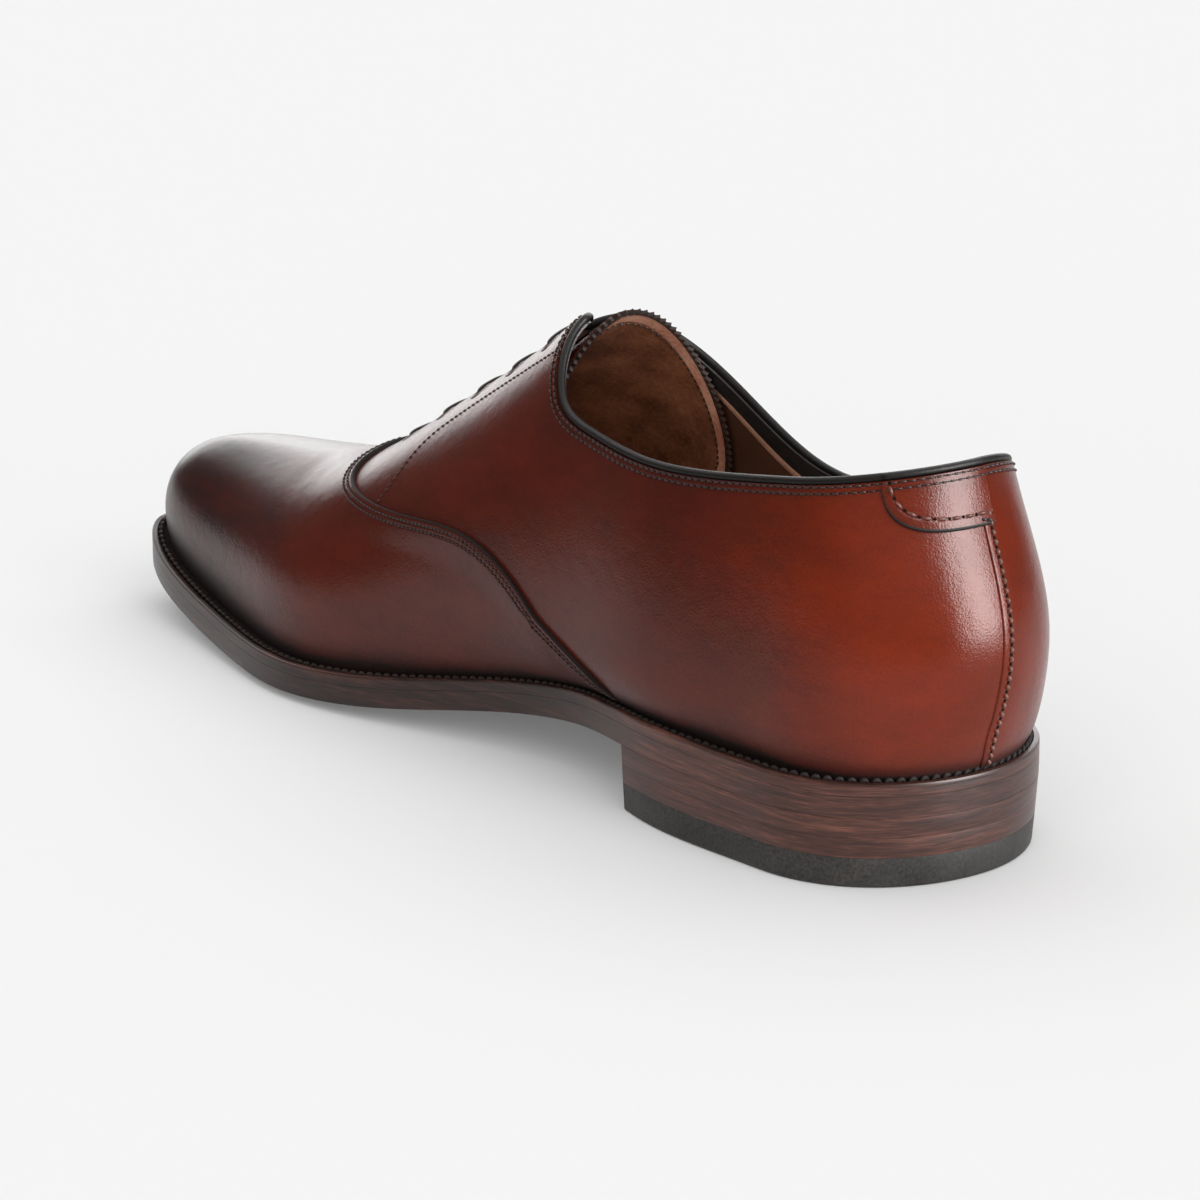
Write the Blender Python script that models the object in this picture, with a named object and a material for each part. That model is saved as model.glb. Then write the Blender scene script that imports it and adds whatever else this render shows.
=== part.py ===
"""Plain-toe oxford, right shoe: a last shape worked out from short tables, and the pieces built on it.

Toe along +X, inner side along +Y, up along +Z. Tables and sizes are in millimetres, meshes in metres.
"""
import bmesh
import bpy
import numpy as np

for old in list(bpy.data.objects):
    bpy.data.objects.remove(old, do_unlink=True)

MM = 0.001

# Driving dimensions
TIP = 304.0              # toe end of the sole, from the back of the heel
TIP_Y = 6.0              # how far the toe end swings to the inner side
HEEL_X = 37.0            # widest station of the heel, where its round back starts
HEEL_LENGTH = 37.0       # from that station to the back of the sole
HEEL_ROUND = 2.25        # power of the heel's plan curve: 2 is an ellipse, more is fuller
TOE_MARGIN = 5.0         # welt showing in front of the toe
BREAST_X = 85.0          # front face of the heel
WALL = 2.2               # leather and lining of the upper
GAP = 0.3                # clearance between neighbouring pieces
WELT = 3.0               # thickness of the welt
SOLE_EDGE = 8.0          # welt and outsole together, at the edge
CROWN = 2.4              # how far the outsole bellies below its edge under the ball
EDGE_ROUND = 0.6         # rounding of sole and heel edges
TOP_PIECE = 7.2          # rubber top piece of the heel
LIFTS = 2                # leather lifts above it
HEEL_TAPER = 1.0         # heel is this much smaller all round at the floor
LAP = 1.1                # vamp's raised edge over the quarters
LAP_FADE = 24.0          # length over which that rise sinks into the vamp
LAP_FOOT = 0.12          # share of the wall's height in which it starts above the welt
FACING_TOP = 131.0       # top of the facings, where slit and top line meet
SLIT = 2.0               # half of the opening between the facings
SLIT_FADE = 7.0          # length over which the slit closes at the throat
# Top corners of the facings, cut off: width, length
FACING_CUT_IN = (5.0, 4.5)
FACING_CUT_OUT = (13.0, 9.0)
COLLAR_BACK = 8.0        # station of the top line at the back seam
BEAD = 1.1               # radius of the piped collar binding
TONGUE = 1.8             # thickness of the tongue
TONGUE_GAP = 0.9         # room between it and the facings, whose faces are flat between grid lines
TONGUE_LEAN = 3.0        # how much further in its inner edge stands at the top of the facings
# Half width at top, throat and foot, as a share of the wall
TONGUE_REACH_IN = (0.5, 0.3, 0.22)
TONGUE_REACH_OUT = (0.68, 0.3, 0.22)
TONGUE_FOOT = 226.0      # lower end of the tongue, under the vamp
TONGUE_TIP = 127.5       # top of the tongue on the centre line
TONGUE_SKEW = 11.0       # its top stands this much forward at the inner side and back at the outer one
TONGUE_HOLLOW = 4.0      # its top runs further back by this at both sides
TONGUE_CORNER_IN = 10.0  # rounding of its top corners
TONGUE_CORNER_OUT = 40.0
INSOLE_RISE = 1.5        # top of the insole above the welt
TAB = 1.1                # thickness of the heel tab
TAB_TURN = 45.0          # degrees that it reaches round the heel to the inner side
TAB_PAST = 4.0           # degrees that it runs on past the back seam
TAB_DROP = 0.07          # its depth below the top line, as a share of the wall
TAB_END = 0.995          # its end is cut square here, where its rounded outline would close
TAB_BELOW = 0.006        # share left between it and the top line
LACE_BARS = 5
LACE_FIRST, LACE_PITCH = 140.0, 13.0
LACE_REACH = 9.0         # half length of a lace bar across the facings
LACE_RADIUS = 0.8
LACE_OVER = 0.45         # room between a bar and the facings, whose faces are flat between grid lines

# Fineness of the upper's grid
ROWS = 14                # lines from welt to top
VAMP_COLUMNS = 18        # lines from toe end to vamp edge
FACING_COLUMNS = 8       # lines from vamp edge to the facings' top

# Cross sections of the last and sole, heel to toe
SECTION_COLUMNS = ("x", "seat", "inner", "outer", "welt_in", "welt_out", "bulge_in", "bulge_out",
                   "widest", "ridge", "ridge_y", "side_pull", "top_pull")
SECTION_ROWS = (
    (37, 24.5, 38.5, 35.5, 4.0, 4.0, 1.8, 1.8, 12.0, 150.0, 0.0, 0.30, 0.47),
    (75, 24.8, 37.0, 35.5, 3.0, 4.0, 3.8, 2.3, 12.0, 138.0, 0.0, 0.40, 0.49),
    (105, 22.6, 28.5, 39.0, 2.5, 4.0, 8.2, 2.4, 15.5, 125.0, 0.0, 0.42, 0.51),
    (140, 17.6, 28.0, 46.0, 2.5, 4.0, 7.0, 2.5, 23.0, 100.5, 0.0, 0.48, 0.50),
    (175, 12.0, 37.0, 51.0, 4.5, 4.5, 2.0, 1.5, 17.0, 78.0, 0.5, 0.48, 0.50),
    (205, 10.0, 41.5, 54.0, 5.0, 5.0, 0.5, 1.0, 13.0, 60.0, 1.5, 0.50, 0.55),
    (232, 10.5, 37.0, 51.0, 5.0, 5.0, 0.5, 0.5, 12.0, 53.0, 2.5, 0.55, 0.55),
    (258, 12.9, 30.5, 42.5, 5.0, 5.0, 0.5, 0.5, 11.5, 50.5, 3.5, 0.55, 0.55),
    (280, 16.6, 24.5, 29.5, 5.0, 5.0, 1.0, 1.0, 11.0, 47.9, 4.5, 0.58, 0.58),
)
SEAT_TIP = 22.6          # height of the welt's top at the toe end
SECTION = dict(zip(SECTION_COLUMNS, np.array(SECTION_ROWS, float).T))

# Back of the heel seen from the side: height, station of the outer face
BACK_ROWS = ((24.5, 0.6), (32, -1.3), (42, -3.6), (55, -4.4), (70, -0.2), (85, 5.8), (100, 9.5))
BACK_Z, BACK_X = np.array(BACK_ROWS, float).T

# Top line: station, height on the inner side, height on the outer side
TOPLINE_ROWS = ((131, 105.4, 102), (128, 98.9, 97.6), (120, 89.2, 90), (104, 84.7, 78.6), (84, 83.1, 70.4),
                (60, 84, 71), (35, 87.2, 79.4), (8, 91.7, 91.7))
TOPLINE_X, TOPLINE_IN, TOPLINE_OUT = np.array(TOPLINE_ROWS, float).T

# Vamp edge: share of the way from welt to ridge, station on the inner side, on the outer side
VAMP_ROWS = ((0, 88, 93), (0.15, 97.5, 104), (0.3, 117, 124), (0.5, 167, 170), (0.7, 198, 199),
             (0.85, 204.5, 204.5), (1, 203, 203))
VAMP_T, VAMP_IN, VAMP_OUT = np.array(VAMP_ROWS, float).T
THROAT = VAMP_IN[-1]
CORNER_BACK = (THROAT - FACING_TOP) / (THROAT - HEEL_X)
WIDEST_T = 0.3           # share of the wall below its widest point


# Shape of the last


def spline(knots, values, at, start_slope=None, end_slope=None):
    """Cubic spline through rows of knots; an end whose slope is None is left without curvature."""
    at = np.asarray(at, float)
    count = len(knots)
    step = np.diff(knots)
    rise = np.diff(values) / step
    matrix = np.zeros((count, count))
    right = np.zeros(count)
    for i in range(1, count - 1):
        matrix[i, i - 1:i + 2] = step[i - 1], 2 * (step[i - 1] + step[i]), step[i]
        right[i] = 6 * (rise[i] - rise[i - 1])
    matrix[0, 0] = 1
    matrix[-1, -1] = 1
    if start_slope is not None:
        matrix[0, :2] = 2 * step[0], step[0]
        right[0] = 6 * (rise[0] - start_slope)
    if end_slope is not None:
        matrix[-1, -2:] = step[-1], 2 * step[-1]
        right[-1] = 6 * (end_slope - rise[-1])
    bend = np.linalg.solve(matrix, right)
    j = np.clip(np.searchsorted(knots, at) - 1, 0, count - 2)
    a = (knots[j + 1] - at) / step[j]
    b = (at - knots[j]) / step[j]
    curve = (a ** 3 - a) * bend[j] + (b ** 3 - b) * bend[j + 1]
    return a * values[j] + b * values[j + 1] + curve * step[j] ** 2 / 6


def along(x, column, tip_value, tip_x):
    """A table column at x, splined in the root of the distance from the tip, so the toe closes round."""
    def root(station):
        return np.sqrt(np.maximum(0.0, 1 - np.asarray(station, float) / tip_x))
    knots = np.concatenate([[0.0], root(SECTION["x"][::-1])])
    values = np.concatenate([[tip_value], column[::-1]])
    return spline(knots, values, np.minimum(root(x), knots[-1]), None, 0.0)


def seat(x):
    """Height of the welt's top face at x."""
    knots = np.append(SECTION["x"], TIP)
    values = np.append(SECTION["seat"], SEAT_TIP)
    return spline(knots, values, np.clip(x, HEEL_X, TIP), 0.0, None)


def half_width(side, x, welt_share, inset):
    """Signed half width of the sole at x, drawn in by a share of the welt and by an inset."""
    edge, welt = ("inner", "welt_in") if side > 0 else ("outer", "welt_out")
    column = SECTION[edge] - welt_share * SECTION[welt] - inset
    return side * along(x, column, side * TIP_Y, TIP - welt_share * TOE_MARGIN - inset)


def section(side, x):
    """Sizes of the upper's half section at x: foot point, bulge, ridge point and curve pulls."""
    tip = TIP - TOE_MARGIN
    bulge = "bulge_in" if side > 0 else "bulge_out"
    foot_z = seat(x) + GAP
    return {
        "foot_y": half_width(side, x, 1.0, 0.0),
        "foot_z": foot_z,
        "bulge": side * along(x, SECTION[bulge], 0.0, tip),
        "widest": along(x, SECTION["widest"], 0.0, tip),
        "ridge_z": foot_z + along(x, SECTION["ridge"] - SECTION["seat"], 0.0, tip),
        "ridge_y": along(x, SECTION["ridge_y"], TIP_Y, tip),
        "side_pull": along(x, SECTION["side_pull"], SECTION["side_pull"][-1], tip),
        "top_pull": along(x, SECTION["top_pull"], SECTION["top_pull"][-1], tip),
    }


def arch(sizes, t):
    """Point of a half section: t 0 on the welt, WIDEST_T where the wall is upright, 1 on the ridge."""
    low = np.clip(t / WIDEST_T, 0, 1)
    u = np.clip((t - WIDEST_T) / (1 - WIDEST_T), 0, 1)
    first, second, third, last = (1 - u) ** 3, 3 * u * (1 - u) ** 2, 3 * u * u * (1 - u), u ** 3
    side_y = sizes["foot_y"] + sizes["bulge"] * (1 - (1 - low) ** 2)
    side_z = sizes["foot_z"] + sizes["widest"] * low
    reach = first + second + third * sizes["top_pull"]
    climb = second * sizes["side_pull"] + third + last
    y = np.where(t < WIDEST_T, side_y, sizes["ridge_y"] + (side_y - sizes["ridge_y"]) * reach)
    z = np.where(t < WIDEST_T, side_z, side_z + (sizes["ridge_z"] - side_z) * climb)
    return y, z


def body_point(side, x, t):
    """Outer face of the upper in front of the heel."""
    y, z = arch(section(side, x), t)
    return np.stack([np.broadcast_to(x, y.shape), y, z], -1)


def heel_point(side, angle, t):
    """Outer face of the upper round the heel: angle 0 at HEEL_X, a quarter turn at the back seam."""
    y, z = arch(section(side, np.full(np.shape(t), HEEL_X)), t)
    depth = HEEL_X - spline(BACK_Z, BACK_X, np.clip(z, BACK_Z[0], BACK_Z[-1]))
    x = HEEL_X - depth * np.sin(angle)
    return np.stack([x, y * np.sqrt(np.maximum(0, 1 - np.sin(angle) ** HEEL_ROUND)), z], -1)


def topline_height(side, x):
    """Height of the top line at x, splined in the root of the distance behind the facings' top."""
    def root(station):
        return np.sqrt(np.maximum(0.0, FACING_TOP - np.asarray(station, float)))
    return spline(root(TOPLINE_X), TOPLINE_IN if side > 0 else TOPLINE_OUT, root(x))


def smooth_step(value):
    """Rises from 0 to 1 with level ends."""
    value = np.clip(value, 0, 1)
    return value * value * (3 - 2 * value)


def inside_quarter(side, x, t):
    """True below the quarter's edge: the slit in front of the facings' top, the top line behind it."""
    sizes = section(side, x)
    y, z = arch(sizes, t)
    cut, length = FACING_CUT_IN if side > 0 else FACING_CUT_OUT
    slit = SLIT * smooth_step((THROAT - x) / SLIT_FADE)
    slit = slit + cut * np.clip(1 - (x - FACING_TOP) / length, 0, 1) ** 1.5
    clear_of_slit = side * (y - sizes["ridge_y"]) > slit
    return clear_of_slit & ((x > FACING_TOP) | (z < topline_height(side, x)))


def column_x(side, back, t):
    """Station on a line of the quarter: back 0 follows the vamp's edge, back 1 is the section at HEEL_X."""
    return vamp_edge(side, t) * (1 - back) + HEEL_X * back


def highest(inside, shape):
    """Largest share t, by halving, for which inside(t) still holds."""
    low = np.full(shape, WIDEST_T)
    high = np.ones(shape)
    for _ in range(32):
        middle = (low + high) / 2
        below = inside(middle)
        low = np.where(below, middle, low)
        high = np.where(below, high, middle)
    return low


def upper_limit(side, x):
    """Share t of the quarter's edge at station x."""
    return highest(lambda t: inside_quarter(side, x, t), np.shape(x))


def heel_limit(side, angle):
    """Share t of the top line round the heel."""
    height = topline_height(side, HEEL_X - (HEEL_X - COLLAR_BACK) * np.sin(angle))
    sizes = section(side, np.full(np.shape(angle), HEEL_X))
    return highest(lambda t: arch(sizes, t)[1] < height, np.shape(angle))


def vamp_edge(side, t):
    """Station of the vamp's edge at share t."""
    return spline(VAMP_T, VAMP_IN if side > 0 else VAMP_OUT, t)


def outward(point, side, place, t, step, turn):
    """Unit normal of body_point (turn -1, place is x) or heel_point (turn 1, place is the angle)."""
    along_place = point(side, place + step, t) - point(side, place - step, t)
    along_t = point(side, place, np.minimum(t + 0.002, 1)) - point(side, place, t - 0.002)
    normal = np.cross(along_place, along_t) * side * turn
    return normal / np.maximum(np.linalg.norm(normal, axis=-1, keepdims=True), 1e-9)


def body_normal(side, x, t):
    """Outward normal in front of the heel."""
    return outward(body_point, side, x, t, 0.1, -1)


def heel_normal(side, angle, t):
    """Outward normal round the heel, read just short of the back seam where the halves meet."""
    return outward(heel_point, side, np.minimum(angle, np.pi / 2 - 0.011), t, 0.01, 1)


# Mesh helpers


def material(name, colour, roughness):
    """Principled material of one sub-part."""
    made = bpy.data.materials.new(name)
    made.use_nodes = True
    shader = made.node_tree.nodes["Principled BSDF"]
    shader.inputs["Base Color"].default_value = (*colour, 1.0)
    shader.inputs["Roughness"].default_value = roughness
    shader.inputs["Metallic"].default_value = 0.0
    return made


def add_object(name, vertices, faces, look):
    """One named object from points in millimetres, with doubles merged and faces turned outward."""
    mesh = bpy.data.meshes.new(name)
    mesh.from_pydata([tuple(v) for v in np.asarray(vertices) * MM], [], faces)
    work = bmesh.new()
    work.from_mesh(mesh)
    bmesh.ops.remove_doubles(work, verts=work.verts, dist=0.00001)
    bmesh.ops.triangulate(work, faces=work.faces, quad_method="SHORT_EDGE")
    bmesh.ops.recalc_face_normals(work, faces=work.faces)
    work.to_mesh(mesh)
    work.free()
    mesh.shade_smooth()
    mesh.set_sharp_from_angle(angle=np.radians(40))
    mesh.materials.append(look)
    made = bpy.data.objects.new(name, mesh)
    shoe.objects.link(made)
    made.parent = frame
    return made


def grid_faces(rows, columns, start=0, turned=False):
    """Quads of a grid of points listed row by row."""
    faces = []
    for i in range(rows - 1):
        for j in range(columns - 1):
            a = start + i * columns + j
            quad = (a, a + 1, a + columns + 1, a + columns)
            faces.append(quad[::-1] if turned else quad)
    return faces


def band_faces(loops, count, closed):
    """Quads between neighbouring closed loops of points, and from the last back to the first."""
    faces = []
    for i in range(loops if closed else loops - 1):
        for j in range(count):
            k = (j + 1) % count
            upper_loop = (i + 1) % loops
            faces.append((i * count + j, i * count + k, upper_loop * count + k, upper_loop * count + j))
    return faces


def sheet_solid(name, outer, inner, look):
    """Closed solid between two grids of the same size: both faces and the rim."""
    rows, columns = outer.shape[:2]
    count = rows * columns
    faces = grid_faces(rows, columns) + grid_faces(rows, columns, count, True)
    rim = [(0, j) for j in range(columns)] + [(i, columns - 1) for i in range(1, rows)]
    rim += [(rows - 1, j) for j in range(columns - 2, -1, -1)] + [(i, 0) for i in range(rows - 2, 0, -1)]
    edge = [i * columns + j for i, j in rim]
    for a, b in zip(edge, edge[1:] + edge[:1]):
        faces.append((a, b, b + count, a + count))
    return add_object(name, np.concatenate([outer.reshape(-1, 3), inner.reshape(-1, 3)]), faces, look)


def tube(name, points, radius, look):
    """Round bead along points, with closed ends."""
    curve = bpy.data.curves.new(name, "CURVE")
    curve.dimensions = "3D"
    curve.bevel_depth = radius * MM
    curve.bevel_resolution = 2
    curve.use_fill_caps = True
    line = curve.splines.new("POLY")
    line.points.add(len(points) - 1)
    for place, point in zip(line.points, points * MM):
        place.co = (*point, 1.0)
    curve.materials.append(look)
    made = bpy.data.objects.new(name, curve)
    shoe.objects.link(made)
    made.parent = frame
    return made


# Sole pieces


def half_outline(side, welt_share, inset, front=None):
    """Half of a sole outline, front to heel back: the toe end, or a straight front at a station."""
    tip = TIP - welt_share * TOE_MARGIN - inset
    if front is None:
        x = tip * (1 - np.linspace(0, np.sqrt(1 - HEEL_X / tip), 34) ** 2)
    else:
        x = np.linspace(front, HEEL_X, 6)
    y = half_width(side, x, welt_share, inset)
    angle = np.linspace(0, np.pi / 2, 10)[1:]
    depth = HEEL_LENGTH - inset - welt_share * SECTION["welt_in"][0]
    heel_y = y[-1] * np.sqrt(np.maximum(0, 1 - np.sin(angle) ** HEEL_ROUND))
    return np.append(x, HEEL_X - depth * np.sin(angle)), np.append(y, heel_y)


def plate(name, welt_share, inset, low, high, look, front=None, rounding=EDGE_ROUND, taper=0.0, crown=None):
    """Flat solid with a sole outline; low and high are heights over x, crown bellies the underside."""
    across = np.linspace(-1, 1, 9 if crown else 3)
    grids, loops = [], []
    steps = ((rounding, high, 0.0), (0.0, high, -rounding),
             (taper, low, rounding), (taper + rounding, low, 0.0))
    for extra, height, shift in steps:
        x, inner = half_outline(1, welt_share, inset + extra, front)
        outer = half_outline(-1, welt_share, inset + extra, front)[1]
        z = height(x) + shift
        loops.append((np.stack([x, inner, z], -1), np.stack([x, outer, z], -1)))
    for level in (0, 3):
        inner, outer = loops[level]
        share = ((across + 1) / 2)[None, :, None]
        grid = outer[:, None] * (1 - share) + inner[:, None] * share
        if level == 3 and crown:
            grid[..., 2] = np.maximum(0.0, grid[..., 2] - crown(grid[..., 0]) * (1 - across ** 4))
        grids.append(grid)
    rows, columns = grids[0].shape[:2]
    vertices = np.concatenate([g.reshape(-1, 3) for g in grids])
    faces = grid_faces(rows, columns) + grid_faces(rows, columns, rows * columns, True)
    start = len(vertices)
    rings = []
    for inner, outer in loops:
        edge = [inner, outer[::-1]]
        if front is not None:
            front_line = outer[0] + (inner[0] - outer[0]) * ((across + 1) / 2)[1:-1, None]
            edge.append(front_line)
        rings.append(np.concatenate(edge))
    count = len(rings[0])
    faces += [tuple(start + i for i in face) for face in band_faces(4, count, False)]
    vertices = np.concatenate([vertices] + rings)
    return add_object(name, vertices, faces, look)


def ball_crown(x):
    """Belly of the outsole: none under the arch and heel, full under the ball, fading at the toe."""
    return CROWN * smooth_step((x - 110) / 60) * smooth_step((TIP - x) / 50)


def make_sole():
    """Heel top piece, lifts, outsole, welt ring and insole, floor upward."""
    def under_sole(x):
        return seat(x) - SOLE_EDGE

    def heel_level(share):
        return lambda x: under_sole(x) * share

    rubber = material("heel_rubber", (0.012, 0.011, 0.010), 0.55)
    stack = material("heel_leather", (0.055, 0.024, 0.015), 0.45)
    levels = [0.0, TOP_PIECE / float(under_sole(HEEL_X))]
    levels += [levels[1] + (1 - levels[1]) * (i + 1) / LIFTS for i in range(LIFTS)]
    names = ["heel_top_piece"] + [f"heel_lift_{LIFTS - i}" for i in range(LIFTS)]
    for i, name in enumerate(names):
        low, high = heel_level(levels[i]), heel_level(levels[i + 1])
        plate(name, 0.0, HEEL_TAPER * (1 - levels[i + 1]), low, lambda x, h=high: h(x) - GAP,
              rubber if i == 0 else stack, front=BREAST_X, rounding=0.3,
              taper=HEEL_TAPER * (levels[i + 1] - levels[i]))
    plate("outsole", 0.0, 0.0, under_sole, lambda x: seat(x) - WELT - GAP,
          material("outsole_leather", (0.045, 0.020, 0.013), 0.45), crown=ball_crown)
    plate("insole", 1.0, WALL + 4 * GAP, lambda x: seat(x) - WELT, lambda x: seat(x) + INSOLE_RISE,
          material("insole_leather", (0.32, 0.17, 0.09), 0.6))

    loops = []
    profile = ((0, 0, EDGE_ROUND), (0, 0, WELT), (1, WALL, WELT), (1, WALL, 0), (0, EDGE_ROUND, 0))
    for share, inset, drop in profile:
        x, inner = half_outline(1, share, inset)
        outer = half_outline(-1, share, inset)[1]
        z = seat(x) - drop
        ring = np.concatenate([np.stack([x, inner, z], -1), np.stack([x, outer, z], -1)[-2:0:-1]])
        loops.append(ring)
    add_object("welt", np.concatenate(loops), band_faces(len(loops), len(loops[0]), True),
               material("welt_leather", (0.04, 0.018, 0.012), 0.45))


# Upper pieces


def upper_half(side):
    """Grids of one side's outer face and lining: rows from welt to top, columns from toe to back seam."""
    share = np.linspace(0, 1, ROWS)[:, None]
    edge = vamp_edge(side, share)
    tip = TIP - TOE_MARGIN
    vamp_x = tip - (tip - edge) * (np.linspace(0, 1, VAMP_COLUMNS) ** 1.8)[None, :]
    vamp = body_point(side, vamp_x, np.broadcast_to(share, vamp_x.shape))
    back = np.concatenate([np.linspace(0.004, CORNER_BACK, FACING_COLUMNS),
                           CORNER_BACK + (1 - CORNER_BACK) * np.linspace(0, 1, 12)[1:] ** 1.6])
    top = highest(lambda t: inside_quarter(side, column_x(side, back, t), t), back.shape)
    quarter_t = share * top
    quarter_x = column_x(side, back, quarter_t)
    quarter = body_point(side, quarter_x, quarter_t)
    angle = np.linspace(0, np.pi / 2, 9)[1:]
    heel_t = share * heel_limit(side, angle)
    heel_angle = np.broadcast_to(angle, heel_t.shape)
    heel = heel_point(side, heel_angle, heel_t)
    face = np.concatenate([vamp, quarter, heel], axis=1)
    normal = np.concatenate([body_normal(side, vamp_x, np.broadcast_to(share, vamp_x.shape)),
                             body_normal(side, quarter_x, quarter_t),
                             heel_normal(side, heel_angle, heel_t)], axis=1)
    rise = np.zeros(face.shape[:2])
    sunk = 1 - smooth_step((vamp_x - edge) / LAP_FADE)
    rise[:, :VAMP_COLUMNS] = LAP * sunk * smooth_step(share / LAP_FOOT)
    lining = face - normal * WALL
    lining[:, 0] = face[:, 0] - (WALL, 0, 0)
    return face + normal * rise[..., None], lining


def make_upper():
    """Hollow wall of two halves that share the vamp's ridge and the back seam, open below and above."""
    halves = [upper_half(1), upper_half(-1)]
    for inner, outer in zip(*halves):
        for part in ((-1, slice(0, VAMP_COLUMNS)), (slice(None), -1)):
            middle = (inner[part] + outer[part]) / 2
            inner[part] = middle
            outer[part] = middle
    vertices, faces = [], []
    rows, columns = halves[0][0].shape[:2]
    count = rows * columns
    last = count - columns
    for face, lining in halves:
        start = 2 * count * len(vertices)
        vertices.append(np.concatenate([face.reshape(-1, 3), lining.reshape(-1, 3)]))
        faces += grid_faces(rows, columns, start) + grid_faces(rows, columns, start + count, True)
        edge = list(range(columns - 1)) + list(range(last + VAMP_COLUMNS - 1, count - 1))
        for j in edge:
            a = start + j
            faces.append((a, a + 1, a + 1 + count, a + count))
    leather = material("upper_leather", (0.16, 0.045, 0.022), 0.3)
    add_object("upper", np.concatenate(vertices), faces, leather)
    return halves


def make_tongue():
    """Sheet under the facings, one wall further in than the last, leaning to the outer side; its top is skewed,
    with round corners."""
    lean = np.linspace(-1, 1, 15)
    grid = np.zeros((16, len(lean), 3))
    inward = np.zeros_like(grid)
    for j, u in enumerate(lean):
        side = 1 if u >= 0 else -1
        corner, reach = (TONGUE_CORNER_IN, TONGUE_REACH_IN) if u >= 0 else (TONGUE_CORNER_OUT, TONGUE_REACH_OUT)
        top = TONGUE_TIP + TONGUE_SKEW * u - TONGUE_HOLLOW * u ** 2 + corner * u ** 8
        x = np.linspace(TONGUE_FOOT, top, len(grid))
        t = 1 - np.interp(x, (TONGUE_TIP, THROAT, TONGUE_FOOT), reach) * abs(u)
        grid[:, j] = body_point(side, x, t)
        inward[:, j] = -body_normal(side, x, t)
    aside = ((1 + lean) / 2)[None, :, None]
    room = TONGUE_GAP + TONGUE_LEAN * aside * smooth_step((THROAT - grid[..., :1]) / (THROAT - FACING_TOP))
    outer = grid + inward * (WALL + room)
    look = material("tongue_leather", (0.11, 0.040, 0.022), 0.5)
    sheet_solid("tongue", outer, outer + inward * TONGUE, look)


def make_collar_binding(halves):
    """Piped bead that sits on the upper's rim from one facing round the heel to the other."""
    lines = []
    for side, (face, lining) in zip((1, -1), halves):
        first = VAMP_COLUMNS + FACING_COLUMNS
        rim = (face[-1, first:] + lining[-1, first:]) / 2
        through = face[-1, first:] - lining[-1, first:]
        run = np.gradient(rim, axis=0)
        rise = side * np.cross(through, run)
        rise /= np.linalg.norm(rise, axis=1, keepdims=True)
        lines.append(rim + rise * (BEAD + GAP))
    lines[0][-1] = (lines[0][-1] + lines[1][-1]) / 2
    points = np.concatenate([lines[0], lines[1][-2::-1]])
    tube("collar_binding", points, BEAD, material("binding_leather", (0.012, 0.009, 0.008), 0.4))


def make_heel_tab():
    """Ear across the back seam onto the inner side, cut from the upper's own face one gap further out."""
    lean = np.append(np.sin(np.linspace(np.pi / 2, 0, 15)) * TAB_END, -TAB_PAST / TAB_TURN)
    turn = np.radians(90 - TAB_TURN * lean)
    drop = TAB_DROP * (1 - np.maximum(lean, 0) ** 4) ** 0.4
    share = np.linspace(0, 1, 6)[:, None]
    grid = np.zeros((len(share), len(turn), 3))
    normal = np.zeros_like(grid)
    for j, angle in enumerate(turn):
        side = 1 if angle <= np.pi / 2 else -1
        around = np.array([min(angle, np.pi - angle)])
        top = heel_limit(side, around)[0] - TAB_BELOW
        t = (top - drop[j] * share)[:, 0]
        grid[:, j] = heel_point(side, np.broadcast_to(around, t.shape), t)
        normal[:, j] = heel_normal(side, np.broadcast_to(around, t.shape), t)
    inner = grid + normal * 2 * GAP
    sheet_solid("heel_tab", inner + normal * TAB, inner, material("tab_leather", (0.17, 0.048, 0.024), 0.3))


def make_lace_bars():
    """Straight bars of the lace, lying over both facings."""
    look = material("lace_cotton", (0.018, 0.011, 0.008), 0.6)
    for number in range(LACE_BARS):
        x = LACE_FIRST + LACE_PITCH * number
        points = []
        for y in np.linspace(-LACE_REACH, LACE_REACH, 9):
            side = 1 if y >= 0 else -1
            station = np.array([x])
            sizes = section(side, station)
            t = highest(lambda t: side * (arch(sizes, t)[0] - sizes["ridge_y"]) > abs(y), station.shape)
            points.append(body_point(side, station, t)[0])
        points = np.array(points)
        ridge = body_point(1, np.array([x, x + 1.0]), np.ones(2))
        forward = ridge[1] - ridge[0]
        run = np.gradient(points, axis=0)
        out = np.cross(forward, run)
        out /= np.linalg.norm(out, axis=1, keepdims=True)
        tube(f"lace_bar_{number + 1}", points + out * (LACE_RADIUS + LACE_OVER), LACE_RADIUS, look)


shoe = bpy.data.collections.new("plain_toe_oxford")
bpy.context.scene.collection.children.link(shoe)
frame = bpy.data.objects.new("shoe_frame", None)
shoe.objects.link(frame)

make_sole()
upper_grids = make_upper()
make_tongue()
make_collar_binding(upper_grids)
make_heel_tab()
make_lace_bars()

meshes = [made.data for made in shoe.objects if made.type == "MESH"]
points = np.array([vertex.co for mesh in meshes for vertex in mesh.vertices])
low, high = points.min(axis=0), points.max(axis=0)
frame.location = (-(low[0] + high[0]) / 2, -(low[1] + high[1]) / 2, 0.0)
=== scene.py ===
import bmesh
import bpy
import numpy as np
from mathutils import Matrix


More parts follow.
